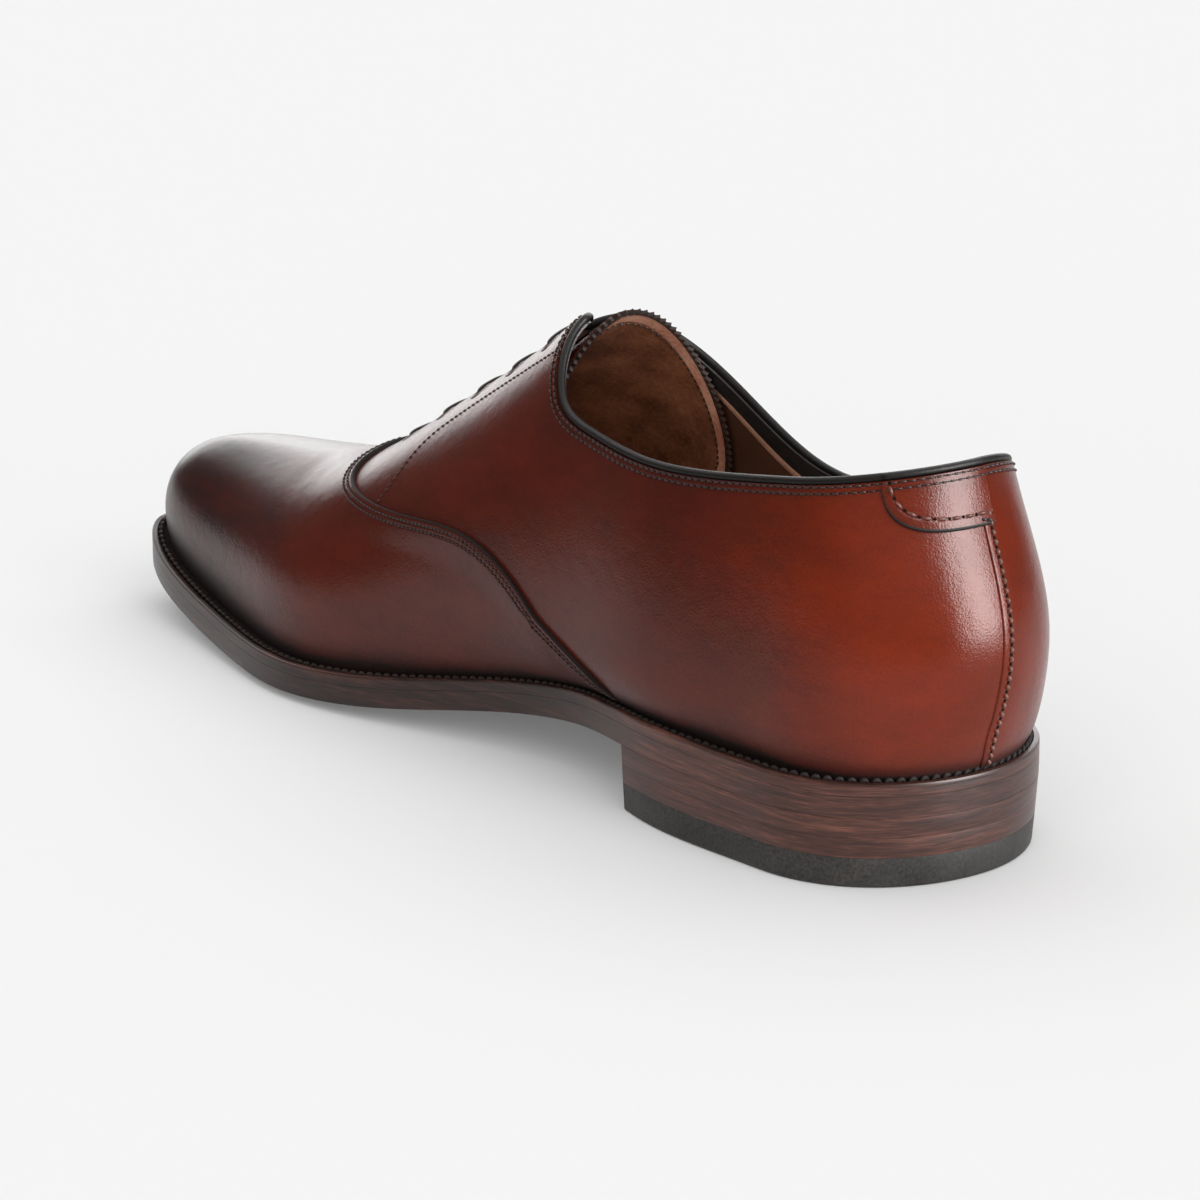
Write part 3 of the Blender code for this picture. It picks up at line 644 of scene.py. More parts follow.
def seam_bow(share):
    """Turn of the back seam to the inner side at a share of the way from welt to top line."""
    foot = np.clip(1 - 2 * share, 0, 1) ** 2
    return np.radians(SEAM_BOW) * (1 - share ** 2) * (1 - SEAM_FOOT * foot)


def quarter_grid(side, back, turn, rows):
    """Grid of one quarter, rows from welt to top, columns from under the vamp to the back: points and
    normals."""
    share = np.linspace(0, 1, rows)[:, None]
    top = highest(lambda t: inside_quarter(side, column_x(side, back, t), t), back.shape)
    window = np.hanning(29)[1:-1]
    even = np.convolve(np.pad(top, 13, mode="edge"), window / window.sum(), "valid")
    t = share * even + share ** 6 * (top - even)
    x = column_x(side, back, t)
    heel_t = share * heel_rim(turn)
    straight = 0.0 if side > 0 else np.pi
    heel_turn = turn - seam_bow(share) * ((turn - straight) / (turn[-1] - straight)) ** 2
    face = np.concatenate([wall(side)(x, t), heel_wall(heel_turn, heel_t)], axis=1)
    normal = np.concatenate([wall_normal(side, x, t), heel_normal(heel_turn, heel_t)], axis=1)
    return face, normal


def tucked(face, normal):
    """A grid with one more row below, so that the leather runs down past the welt's top."""
    foot = face[:1] - (0, 0, TUCK) - normal[:1] * (1, 1, 0) * 0.15
    return np.concatenate([foot, face]), np.concatenate([normal[:1], normal])


def unit(rows):
    """Rows drawn to length 1."""
    return rows / np.linalg.norm(rows, axis=-1, keepdims=True)


def run_length(points):
    """Length run along the first direction of rows of points."""
    return np.cumsum(np.linalg.norm(np.diff(points, axis=0, prepend=points[:1]), axis=-1), axis=0)


def rolled_edge(face, normal, rise, columns):
    """Columns that round a raw edge off: from the last column the edge turns in a quarter circle down to
    the leather below. rise is the last column's height over that leather."""
    run = face[:, -1] - face[:, -2]
    run = unit(run - normal[:, -1] * np.sum(run * normal[:, -1], -1, keepdims=True))
    angle = np.linspace(0, np.pi / 2, columns + 1)[1:]
    radius = np.minimum(rise, 0.4)[:, None, None]
    out = np.sin(angle)[None, :, None] * radius
    down = (1 - np.cos(angle))[None, :, None] * radius
    rounded = face[:, -1:] + run[:, None] * out - normal[:, -1:] * down
    foot = rounded[:, -1:] - normal[:, -1:] * np.maximum(rise[:, None, None] - radius - 0.03, 0.0)
    return np.concatenate([face, rounded, foot], axis=1)


def carried(values, extra, keep=1.0, step=0.0):
    """A grid whose last column, changed by a factor and a step, is said again for the columns of a rolled
    edge."""
    return np.concatenate([values] + [values[:, -1:] * keep + step] * extra, axis=1)


def two_faced(outer, inner):
    """Points of a closed sheet: outer grid, then inner grid."""
    return np.concatenate([outer.reshape(-1, 3), inner.reshape(-1, 3)])


def on_both(**values):
    """Numbers of the outer grid, said again for the inner grid."""
    return {key: np.tile(np.ravel(value), 2) for key, value in values.items()}


def sheet_faces(outer):
    """Quads of the outer face, inner face and rim of a closed sheet; points are listed outer grid then
    inner grid."""
    rows, columns = outer.shape[:2]
    count = rows * columns
    number = np.arange(count).reshape(rows, columns)
    edge = np.concatenate([number[0], number[1:, -1], number[-1, -2::-1], number[-2:0:-1, 0]])
    following = np.roll(edge, -1)
    rim = np.stack([edge, following, following + count, edge + count], -1)
    return grid_quads(rows, columns), grid_quads(rows, columns, count), rim


def nearest(points, line):
    """Distance in millimetres from each point to the nearest point of a dense line."""
    flat = np.asarray(points).reshape(-1, 3)
    found = np.empty(len(flat))
    for start in range(0, len(flat), 4000):
        part = flat[start:start + 4000]
        found[start:start + 4000] = np.sqrt(((part[:, None] - line[None]) ** 2).sum(-1).min(1))
    return found.reshape(np.shape(points)[:-1])


def fade(distance, reach):
    """1 at an edge, falling away over reach millimetres."""
    return np.exp(-np.asarray(distance) / reach)


def make_edge_rows():
    """Marks that sewing leaves beside an edge: a shallow trough under each of two stitch rows at the
    given distances from the edge, and a dark line where the dyed edge itself turns over."""
    inputs = {"Distance mm": 9.0, "First row": 1.3, "Second row": 2.6, "Half width": 0.55, "Dyed edge": 0.35}
    tree, given, result = new_group("edge_rows", inputs, ("Trough", "Edge"))
    troughs = []
    for row in ("First row", "Second row"):
        off = math(tree, "ABSOLUTE", math(tree, "SUBTRACT", given["Distance mm"], given[row]))
        troughs.append(graded(tree, off, 0.0, given["Half width"], 1.0, 0.0))
    edge_end = math(tree, "MULTIPLY", given["Dyed edge"], 2.2)
    edge = graded(tree, given["Distance mm"], given["Dyed edge"], edge_end, 1.0, 0.0)
    tree.links.new(math(tree, "MAXIMUM", *troughs), result["Trough"])
    tree.links.new(edge, result["Edge"])
    return tree


edge_rows = make_edge_rows()


def make_calf(name, first_row, second_row, dyed_edge):
    """Burnished calf: colour runs from amber to near black with the burnish value and drifting cloud; that
    value also holds painted light, amber where light falls on the heel, and painted shade along the welt.
    Stitch rows lie in troughs beside the edge, painted a little darker as shade, and the waxed gloss is
    duller along the foot and the cut edge."""
    made, tree = new_finish(name, IOR=1.34)
    grain = add_node(tree, "Group", {"Pore mm": 0.55}, node_tree=leather_grain).outputs
    burnish, distance, foot = read(tree, "burnish", "edge_mm", "foot")
    rows = add_node(tree, "Group", {"Distance mm": distance, "First row": first_row, "Second row": second_row,
                                    "Dyed edge": dyed_edge}, node_tree=edge_rows).outputs
    # Tone: the stored value, burnish with painted light and shade in it, then cloud, grain, stitch troughs
    # painted darker as shade, and the dyed edge.
    tone = blend(tree, (burnish, 1.0), (grain["Cloud"], 0.75), (grain["Height"], 0.16),
                 (rows["Trough"], 0.16), (rows["Edge"], 1.0), plus=-0.495, clamp=True)
    colour = ramp(tree, tone, (0.0, AMBER), (0.45, CHESTNUT), (0.8, OXBLOOD), (1.0, NEAR_BLACK))
    gloss = blend(tree, (grain["Cloud"], 0.12), (rows["Edge"], 0.4), (foot, 0.7), plus=0.16, clamp=True)
    height = blend(tree, (grain["Height"], 1.0), (rows["Trough"], -2.3), (grain["Swell"], 2.0))
    return dress(made, colour, height, 0.9, 0.046, gloss)


FIRST_ROW = 0.5                 # stitch rows below the binding, from the rim of the leather
SECOND_ROW = 1.9
quarter_calf = make_calf("quarter_calf", FIRST_ROW, SECOND_ROW, 0.0)
flesh_side = make_plain_leather("flesh_side", (0.14, 0.065, 0.034), (0.20, 0.095, 0.05), 0.8, 0.05,
                                Roughness=0.75)


def quarter_columns(side):
    """Lines of a quarter: shares of the way back from the vamp's edge, and turns round the heel past the
    back seam."""
    back = np.concatenate([np.linspace(-0.03, 0.0, 4), np.linspace(0, CORNER_BACK, 64)[1:],
                           CORNER_BACK + (1 - CORNER_BACK) * np.linspace(0.03, 1, 76) ** 1.2])
    past_seam = np.radians(90 + 4 if side > 0 else 90 - BACK_LAP_TURN)
    far_side = 0.0 if side > 0 else np.pi
    turn = far_side + (past_seam - far_side) * np.linspace(0, 1, 60)[1:]
    return back, turn


def quarter_burnish(face, sole_mm, rim_mm, lap_mm):
    """Burnish and painted light of a quarter: amber at the heel and darker forwards, partly burnish and
    partly painted light for the lit heel; darkest along the welt, where the dark is painted shade; darker by
    burnish along top line and vamp edge."""
    tone = 0.04 + 0.45 * smooth_step((face[..., 0] + 4) / 62.0)
    return tone + 0.9 * fade(sole_mm, 3.0) + 0.16 * fade(rim_mm, 5.0) + 0.16 * fade(lap_mm, 9.0)


def rim_line(side):
    """Dense line along a quarter's top line, from the facings' top to the back seam."""
    x = FACING_TOP - np.linspace(0, np.sqrt(FACING_TOP - HEEL_X), 500) ** 2
    t = highest(lambda t: inside_quarter(side, x, t), x.shape)
    turn = np.linspace(0, np.pi / 2, 260) if side > 0 else np.linspace(np.pi, np.pi / 2, 260)
    return np.concatenate([wall(side)(x, t), heel_wall(turn, heel_rim(turn))])


EYELETS = 5
EYELET_FIRST = 140.0            # station of the top pair
EYELET_PITCH = 13.0
EYELET_Y = 9.0                  # from the ridge
EYELET_CUT = 1.7                # radius cut out of facing and lining


def beside_ridge(side, x, offset):
    """Share t at which the wall lies offset millimetres to the side of the ridge."""
    sizes = section(side, x)
    return highest(lambda t: side * (arch(sizes, t)[0] - sizes["ridge_y"]) > offset, np.shape(x))


eyelet_x = EYELET_FIRST + EYELET_PITCH * np.arange(EYELETS)
eyelet_t = {side: beside_ridge(side, eyelet_x, np.full(EYELETS, EYELET_Y)) for side in (1, -1)}
eyelet_places = {side: wall(side)(eyelet_x, eyelet_t[side]) for side in (1, -1)}
eyelet_normals = {side: wall_normal(side, eyelet_x, eyelet_t[side]) for side in (1, -1)}


def punched_faces(outer, side, radius):
    """Quads of a closed sheet with lace holes: outer face, inner face, and rim with the walls of the
    holes."""
    outside, inside, rim = sheet_faces(outer)
    rows, columns = outer.shape[:2]
    hole = nearest(outer.reshape(-1, 3)[outside].mean(axis=1), eyelet_places[side]) < radius
    cut = hole.reshape(rows - 1, columns - 1)
    number = np.arange(rows * columns).reshape(rows, columns)
    upright = cut[:, 1:] != cut[:, :-1]
    level = cut[1:] != cut[:-1]
    start = np.concatenate([number[:-1, 1:-1][upright], number[1:-1, :-1][level]])
    end = np.concatenate([number[1:, 1:-1][upright], number[1:-1, 1:][level]])
    wall_quads = np.stack([start, end, end + rows * columns, start + rows * columns], -1)
    return outside[~hole], inside[~hole], np.concatenate([rim, wall_quads])


for side, name in ((1, "inner_quarter"), (-1, "outer_quarter")):
    back, turn = quarter_columns(side)
    face, normal = quarter_grid(side, back, turn, 66)
    sole_mm = run_length(face)
    edge_t = np.linspace(0, 1, 500)
    lap_mm = nearest(face, wall(side)(vamp_edge(side, edge_t), edge_t))
    rim_mm = nearest(face, rim_line(side))
    burnish = quarter_burnish(face, sole_mm, rim_mm, lap_mm)
    foot = fade(np.concatenate([sole_mm[:1], sole_mm]), 3.5)
    face, normal = tucked(face, normal)
    # The row tucked under the welt is painted darker still, as shade.
    burnish = np.concatenate([burnish[:1] + 0.3, burnish])
    rim_mm = np.concatenate([rim_mm[:1], rim_mm])
    inner = face - normal * CALF
    if side < 0:
        past = np.degrees(np.append(np.full(len(back), np.pi), turn)) - (90 - BACK_LAP_TURN)
        rise = BACK_LAP * (1 - smooth_step(past / BACK_LAP_FADE))
        rise = rise * np.ones((len(face), 1))
        face = rolled_edge(face + normal * rise[..., None], normal, rise[:, -1], 4)
        extra = face.shape[1] - inner.shape[1]
        inner, rim_mm, foot = (carried(grid, extra) for grid in (inner, rim_mm, foot))
        burnish = carried(burnish, extra, step=0.25)
    outside, inside, rim = punched_faces(face, side, EYELET_CUT)
    faces = [(np.concatenate([outside, rim]), quarter_calf), (inside, flesh_side)]
    values = on_both(burnish=burnish, edge_mm=rim_mm, foot=foot)
    quarter = add_piece(name, two_faced(face, inner), faces, values)
    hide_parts("upper")


# The lining: soft calf glued inside vamp and quarters. It shows at the collar, below a black strip that the
# binding is turned into, and through the lace holes.
LINING_GAP = 0.06
LINING_CLEAR = 0.9              # how much wider the lace holes are cut in the lining
lining_calf = make_plain_leather("lining_calf", (0.078, 0.031, 0.016), (0.125, 0.052, 0.027), 0.7, 0.04,
                                 Roughness=0.65)


def lining_half(side, rows):
    """Grids of one side of the lining, outer face and inner face: columns from the toe to the back seam."""
    share = np.linspace(0, 1, rows)[:, None]
    tip = TIP - TOE_MARGIN
    x = tip - (tip - vamp_edge(side, share)) * (np.linspace(0, 1, 40) ** 1.8)[None, :]
    t = np.broadcast_to(share, x.shape)
    back = np.concatenate([np.linspace(0.004, CORNER_BACK, 44),
                           CORNER_BACK + (1 - CORNER_BACK) * np.linspace(0.03, 1, 44) ** 1.2])
    turn = np.linspace(0, np.pi / 2, 36)[1:] if side > 0 else np.linspace(np.pi, np.pi / 2, 36)[1:]
    face, normal = quarter_grid(side, back, turn, rows)
    face = np.concatenate([wall(side)(x, t), face], axis=1)
    normal = np.concatenate([wall_normal(side, x, t), normal], axis=1)
    normal[:, 0] = (1, 0, 0)
    return face - normal * (CALF + LINING_GAP), face - normal * WALL


for side, name in ((1, "inner_lining"), (-1, "outer_lining")):
    outer, inner = lining_half(side, 44)
    faces = np.concatenate(punched_faces(outer, side, EYELET_CUT + LINING_CLEAR))
    lining = add_piece(name, two_faced(outer, inner), [(faces, lining_calf)])
    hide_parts("upper")


# The vamp: one piece of calf drawn over the toe. Its raw edge, dyed dark, lies over both quarters and is
# sewn to them with two rows of small stitches. The calf creases softly in front of the throat.
LAP = 1.1                       # rise of the vamp's edge over the quarters
LAP_FADE = 24.0                 # length over which that rise sinks into the vamp
LAP_FOOT = 0.12                 # share of the wall's height in which it starts above the welt
VAMP_ROWS = 60                  # grid rows of each half
VAMP_ROW_1 = 1.35               # stitch rows, from the edge
VAMP_ROW_2 = 2.75
# Creases: station on the ridge, how far it swings back per millimetre to the side, depth, half width
CREASES = ((212.0, 0.10, 0.04, 2.2), (218.0, 0.06, 0.055, 2.6), (226.0, 0.02, 0.035, 3.2))
CREASE_REACH = 24.0
vamp_calf = make_calf("vamp_calf", VAMP_ROW_1, VAMP_ROW_2, 0.2)


def vamp_half(side, rows, columns):
    """Half of the vamp: station and share grids, rows from welt to ridge, columns from the toe end to the
    edge."""
    share = np.linspace(0, 1, rows)[:, None]
    edge = vamp_edge(side, share)
    tip = TIP - TOE_MARGIN
    x = tip - (tip - edge) * (np.linspace(0, 1, columns) ** 1.9)[None, :]
    return x, np.broadcast_to(share, x.shape), edge


def crease_depth(x, y):
    """Soft troughs across the vamp: Gaussian valleys along slanting lines, fading to the sides."""
    depth = np.zeros(np.shape(x))
    for station, swing, deep, half in CREASES:
        off = (x - station + swing * np.abs(y)) / half
        depth += deep * (np.exp(-off ** 2) - 0.55 * np.exp(-(np.abs(off) - 1.9) ** 2))
    return depth * np.exp(-(y / CREASE_REACH) ** 4)


def vamp_rise(x, edge, t):
    """How far the vamp stands over the last: full at its edge, sinking forwards and at the welt."""
    return LAP * (1 - smooth_step((x - edge) / LAP_FADE)) * smooth_step(t / LAP_FOOT)


halves = []
for side in (1, -1):
    x, t, edge = vamp_half(side, VAMP_ROWS, 110)
    face = wall(side)(x, t)
    normal = wall_normal(side, x, t)
    normal[:, 0] = (1, 0, 0)
    sole_mm = run_length(face)
    face = face + normal * (vamp_rise(x, edge, t) - crease_depth(x, face[..., 1]))[..., None]
    halves.append((*tucked(face, normal), np.concatenate([sole_mm[:1], sole_mm])))
face, normal, sole_mm = (np.concatenate([inner_half, outer_half[-2::-1]])
                         for inner_half, outer_half in zip(*halves))
row_number = np.arange(len(face))
row_between = np.linspace(0, len(face) - 1, 6 * len(face))
edge_line = np.stack([np.interp(row_between, row_number, face[:, -1, k]) for k in range(3)], -1)
edge_mm = nearest(face, edge_line)
# Tone: darker towards the toe by burnish, darkest along the welt as painted shade, darker by the edge as
# burnish.
burnish = 0.57 + 0.28 * smooth_step((face[..., 0] - 185) / 75)
burnish = burnish + 0.60 * fade(sole_mm, 3.5) + 0.10 * fade(edge_mm, 6.0)
t_of_row = np.concatenate([[0.0], np.linspace(0, 1, VAMP_ROWS)])
t_of_row = np.concatenate([t_of_row, t_of_row[-2::-1]])
inner = face - normal * (CALF - 0.03)
face = rolled_edge(face, normal, LAP * smooth_step(t_of_row / LAP_FOOT), 5)
extra = face.shape[1] - inner.shape[1]
burnish = carried(burnish, extra, step=0.2)
edge_mm = carried(edge_mm, extra, keep=0.0)
foot = fade(carried(sole_mm, extra), 4.5)
outside, inside, rim = sheet_faces(face)
vamp = add_piece("vamp", two_faced(face, carried(inner, extra)),
                 [(np.concatenate([outside, rim]), vamp_calf), (inside, flesh_side)],
                 on_both(burnish=burnish, edge_mm=edge_mm, foot=foot))
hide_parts("upper")


# Sewing on the vamp and the facings: waxed dark thread in small lock stitches that sink into the calf, each
# with its needle hole, a dark dome of painted shade. Two rows follow the vamp's edge, one runs down each
# facing and turns into the vamp.


def make_thread(name, dark, light):
    """Waxed thread: fine noise for its twisted fibres, in colour and height."""
    made, tree = new_finish(name, Roughness=0.42, Specular_IOR_Level=0.45)
    twist = noise(tree, 2600.0)
    return dress(made, ramp(tree, twist, (0.3, dark), (0.7, light)), twist, 0.8, 0.06)


thread = make_thread("dark_thread", (0.010, 0.006, 0.005), (0.045, 0.022, 0.016))
# Needle holes: near black, painted shade where each hole is.
needle_hole_shade, hole_tree = new_finish("needle_hole_shade", Roughness=0.9, Specular_IOR_Level=0.1)
hole_shade_colour = ramp(hole_tree, noise(hole_tree, 3000.0),
                   (0.3, (0.002, 0.0015, 0.001)), (0.7, (0.006, 0.004, 0.003)))
hole_tree.links.new(hole_shade_colour, hole_tree.nodes["Principled BSDF"].inputs["Base Color"])
# Stitch row of a facing: station, distance from the ridge
FACING_ROW = ((129.5, 14.9), (150.0, 14.2), (165.0, 15.2), (173.0, 16.9), (177.5, 20.0), (180.0, 24.0),
              (183.0, 27.5))


def evenly(points, normals, pitch, start=0.5):
    """Places every pitch millimetres along a dense line: middles, run directions and normals."""
    length = run_length(points)
    count = int(length[-1] / pitch)
    at = (np.arange(count) + start) * length[-1] / max(count, 1)
    def place(values, places):
        return np.stack([np.interp(places, length, values[:, k]) for k in range(3)], -1)
    normal = unit(place(normals, at))
    run = place(points, at + 0.2 * pitch) - place(points, at - 0.2 * pitch)
    return place(points, at), unit(run - normal * (run * normal).sum(1, keepdims=True)), normal


def stitch_mesh(middle, run, normal, length, radius, sink=0.35, slant=0.0):
    """Joined stitches: each is a bar, round across, that bows up in the middle and dives into the leather
    at its ends; slant turns it a little out of the row."""
    s = np.array([-1.0, -0.86, -0.5, 0.0, 0.5, 0.86, 1.0])
    angle = np.linspace(0, 2 * np.pi, 7)[:-1]
    girth = radius * np.sqrt(1 - 0.96 * np.abs(s) ** 3)
    lift = radius * (1 - sink - 1.5 * np.abs(s) ** 3)
    side = np.cross(normal, run)
    lead = run * np.cos(slant) + side * np.sin(slant)
    wide = np.cross(normal, lead)
    along = lead[:, None] * (s * length / 2)[None, :, None]
    spine = middle[:, None] + along + normal[:, None] * lift[None, :, None]
    round_side = wide[:, None, None] * (girth[:, None] * np.cos(angle))[None, :, :, None]
    round_up = normal[:, None, None] * (girth[:, None] * np.sin(angle))[None, :, :, None]
    points = spine[:, :, None] + round_side + round_up
    each = len(s) * len(angle)
    caps = [[0, 5, 4, 1], [1, 4, 3, 2]]
    caps += [[36, 37, 40, 41], [37, 38, 39, 40]]
    quads = np.concatenate([ring_quads(len(s), len(angle)), caps])
    quads = (quads[None] + (np.arange(len(middle)) * each)[:, None, None]).reshape(-1, 4)
    return points.reshape(-1, 3), quads


def hole_mesh(middle, run, normal, radius):
    """Joined needle holes: low eight-sided domes, painted dark as the shade inside a hole, a little longer
    along the row.
    """
    angle = np.linspace(0, 2 * np.pi, 9)[:-1]
    side = np.cross(normal, run)
    points = []
    for size, up in ((1.0, -0.05), (0.62, 0.035), (0.25, 0.045)):
        ring = run[:, None] * (1.15 * radius * size * np.cos(angle))[None, :, None]
        ring = ring + side[:, None] * (radius * size * np.sin(angle))[None, :, None]
        points.append(middle[:, None] + ring + normal[:, None] * up)
    points = np.stack(points, axis=1)
    caps = [[16, 17, 18, 19], [16, 19, 20, 23], [20, 21, 22, 23], [0, 3, 2, 1], [0, 7, 4, 3], [4, 7, 6, 5]]
    quads = np.concatenate([ring_quads(3, 8), caps])
    quads = (quads[None] + (np.arange(len(middle)) * 24)[:, None, None]).reshape(-1, 4)
    return points.reshape(-1, 3), quads


def sew(name, lines, pitch, radius, hole=0.0, sink=0.35, fill=0.80, slant=0.0, finish=None):
    """A piece of joined stitches along lines of points and normals, with needle holes, dark domes of painted
    shade, between them.
    """
    threads = [stitch_mesh(*evenly(*line, pitch), pitch * fill, radius, sink, slant) for line in lines]
    holes = [hole_mesh(*evenly(*line, pitch, 0.0), hole) for line in lines if hole]
    points = []
    faces = []
    for made, look in ((threads, finish or thread), (holes, needle_hole_shade)):
        quads = []
        for part_points, part_quads in made:
            quads.append(part_quads + sum(len(p) for p in points))
            points.append(part_points)
        if quads:
            faces.append((np.concatenate(quads), look))
    piece = add_piece(name, np.concatenate(points), faces, sharp=80.0)


def slid(surface, place, t, move, step):
    """Place and share of the surface point that lies a small move away, from the surface's own two
    directions."""
    above = np.minimum(t + 0.002, 1)
    along_place = (surface(place + step, t) - surface(place - step, t)) / (2 * step)
    along_t = (surface(place, above) - surface(place, t - 0.002)) / (above - t + 0.002)[..., None]
    aa = (along_place * along_place).sum(-1)
    ab = (along_place * along_t).sum(-1)
    bb = (along_t * along_t).sum(-1)
    am = (along_place * move).sum(-1)
    bm = (along_t * move).sum(-1)
    room = np.maximum(aa * bb - ab * ab, 1e-9)
    return place + (am * bb - bm * ab) / room, t + (bm * aa - am * ab) / room


def vamp_row(side, distance):
    """Line on the vamp that keeps a distance from its edge, with normals."""
    t = np.linspace(0.03, 0.985, 700)
    x = vamp_edge(side, t)
    run = unit(np.gradient(wall(side)(x, t), axis=0))
    into = np.cross(wall_normal(side, x, t), run) * side
    into *= -np.sign(into[len(into) // 2, 2])
    x, t = slid(wall(side), x, t, into * distance, 0.1)
    keep = (t < 0.995) & (t > 0.01)
    x = x[keep]
    t = t[keep]
    rise = vamp_rise(x, vamp_edge(side, t), t) - crease_depth(x, wall(side)(x, t)[:, 1])
    normals = wall_normal(side, x, t)
    return wall(side)(x, t) + normals * rise[:, None], normals


def facing_row(side):
    """Line down a facing: stations and distances from the ridge are splined through FACING_ROW."""
    knots = np.arange(len(FACING_ROW))
    stations, offsets = np.array(FACING_ROW).T
    at = np.linspace(0, len(FACING_ROW) - 1, 500)
    x = spline(knots, stations, at)
    t = beside_ridge(side, x, spline(knots, offsets, at))
    return wall(side)(x, t), wall_normal(side, x, t)


sew("vamp_stitches", [vamp_row(side, distance) for side in (1, -1) for distance in (VAMP_ROW_1, VAMP_ROW_2)],
    pitch=1.55, radius=0.24, hole=0.22)
sew("facing_stitches", [facing_row(side) for side in (1, -1)], pitch=1.7, radius=0.22, hole=0.2, sink=0.5)


# The heel tab: a tongue of the outer quarter's calf that runs across the back seam at the top line and is
# sewn down on the inner quarter. Its edge is cut round and dyed dark.
TAB = 0.9                       # rise of the tab over the inner quarter
SEAM_TURN = 2.6                 # degrees from the edge of the back seam's lap to its stitches
TAB_TURN = 45.0                 # degrees from the back seam to its round end
TAB_DEEP = 12.4                 # depth below the rim at the back seam
TAB_ROW = 2.3                   # stitch row, from the edge
TAB_PAST = 2.2                  # degrees that it runs on over the outer quarter's lap
TAB_END = 0.994                 # share of its length to which the sheet is drawn
TAB_SEAT = 0.02                 # its underside over the quarter
TAB_ROUND = 32.0                # length over which its stitch row keeps that distance at the round end
tab_calf = make_calf("tab_calf", TAB_ROW, TAB_ROW, 0.15)


def below_rim(turn, depth):
    """Share t at a depth in millimetres below the top line, round the heel."""
    rim = heel_rim(turn)
    speed = np.linalg.norm(heel_wall(turn, rim) - heel_wall(turn, rim - 0.04), axis=-1) / 0.04
    return rim - depth / speed


def tab_depth(lean):
    """Depth of the tab's edge below the rim: a rounded corner at its end, level from there to the back
    seam."""
    return TAB_DEEP * (1 - np.clip(lean, 0, 1) ** 4) ** 0.4


lean = np.concatenate([np.sin(np.linspace(np.pi / 2, 0, 60)) * TAB_END, [-TAB_PAST / TAB_TURN]])
tab_turn = np.radians(90 - TAB_TURN * lean)
share = np.linspace(0, 1, 26)[:, None]
tab_turns = np.broadcast_to(tab_turn, (len(share), len(lean)))
tab_t = below_rim(tab_turns, share * tab_depth(lean))
tab_base = heel_wall(tab_turns, tab_t)
tab_normal = heel_normal(tab_turns, tab_t)
tab_face = tab_base + tab_normal * TAB
edge_lean = np.sin(np.linspace(0, 1, 600) * np.pi / 2) * TAB_END
edge_turn = np.radians(90 - TAB_TURN * edge_lean)
edge_t = below_rim(edge_turn, tab_depth(edge_lean))
edge_mm = nearest(tab_face, heel_wall(edge_turn, edge_t) + heel_normal(edge_turn, edge_t) * TAB)
rim_mm = nearest(tab_face, heel_wall(tab_turn, heel_rim(tab_turn)))
# Tone as on the quarters: amber at the heel partly painted light, darker by burnish at the top line and the
# dyed edge.
burnish = 0.05 + 0.45 * smooth_step((tab_face[..., 0] + 4) / 62.0)
burnish = burnish + 0.14 * fade(rim_mm, 5.0) + 0.24 * fade(edge_mm, 1.6)
inner = (tab_base + tab_normal * TAB_SEAT).transpose(1, 0, 2)
tab_rise = np.full(len(lean), TAB - TAB_SEAT)
tab_face = rolled_edge(tab_face.transpose(1, 0, 2), tab_normal.transpose(1, 0, 2), tab_rise, 4)
extra = tab_face.shape[1] - len(share)
heel_tab = add_piece("heel_tab_calf", two_faced(tab_face, carried(inner, extra)),
                     [(np.concatenate(sheet_faces(tab_face)), tab_calf)],
                     on_both(burnish=carried(burnish.T, extra, step=0.25),
                             edge_mm=carried(edge_mm.T, extra, keep=0.0)))
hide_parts("heel_tab")


def tab_row():
    """Stitch line inside the tab's edge, from under the binding to the back seam."""
    inset = 1 - TAB_ROW / TAB_ROUND
    lean = np.sin(np.linspace(np.pi / 2, 0.02, 400)) * inset
    turn = np.radians(90 - TAB_TURN * lean)
    t = below_rim(turn, np.maximum(tab_depth(lean / inset * TAB_END) - TAB_ROW, 0.0))
    normals = heel_normal(turn, t)
    return heel_wall(turn, t) + normals * TAB, normals


def back_seam_row():
    """Stitch line down the back, on the lap of the outer quarter, from the tab to the welt."""
    depth = np.linspace(TAB_DEEP - 3.0, 62.0, 500)
    turn = np.full(depth.shape, np.radians(90 - BACK_LAP_TURN + SEAM_TURN))
    t = below_rim(turn, depth)
    t = np.maximum(t[0] + (0.02 - t[0]) * np.linspace(0, 1, 500), 0.02)
    turn = turn - seam_bow(t / heel_rim(turn))
    normals = heel_normal(turn, t)
    return heel_wall(turn, t) + normals * (BACK_LAP * 0.95), normals


seam_thread = make_thread("seam_thread", (0.070, 0.022, 0.015), (0.28, 0.10, 0.07))
sew("tab_stitches", [tab_row()], pitch=3.1, radius=0.37, hole=0.5, fill=0.74, finish=seam_thread)
sew("back_seam_stitches", [back_seam_row()], pitch=2.15, radius=0.48, hole=0.58, fill=0.70, slant=0.2,
    finish=seam_thread)
tack_turn = np.radians(90 - BACK_LAP_TURN + np.linspace(-3.4, 1.6, 60))
tack_t = below_rim(tack_turn, TAB_DEEP - 1.0 + 0.6 * np.linspace(0, 1, 60))
tack_normal = heel_normal(tack_turn, tack_t)
tack_line = heel_wall(tack_turn, tack_t) + tack_normal * (TAB + 0.1)
sew("tab_tack", [(tack_line, tack_normal)], pitch=1.5, radius=0.36, fill=0.95)


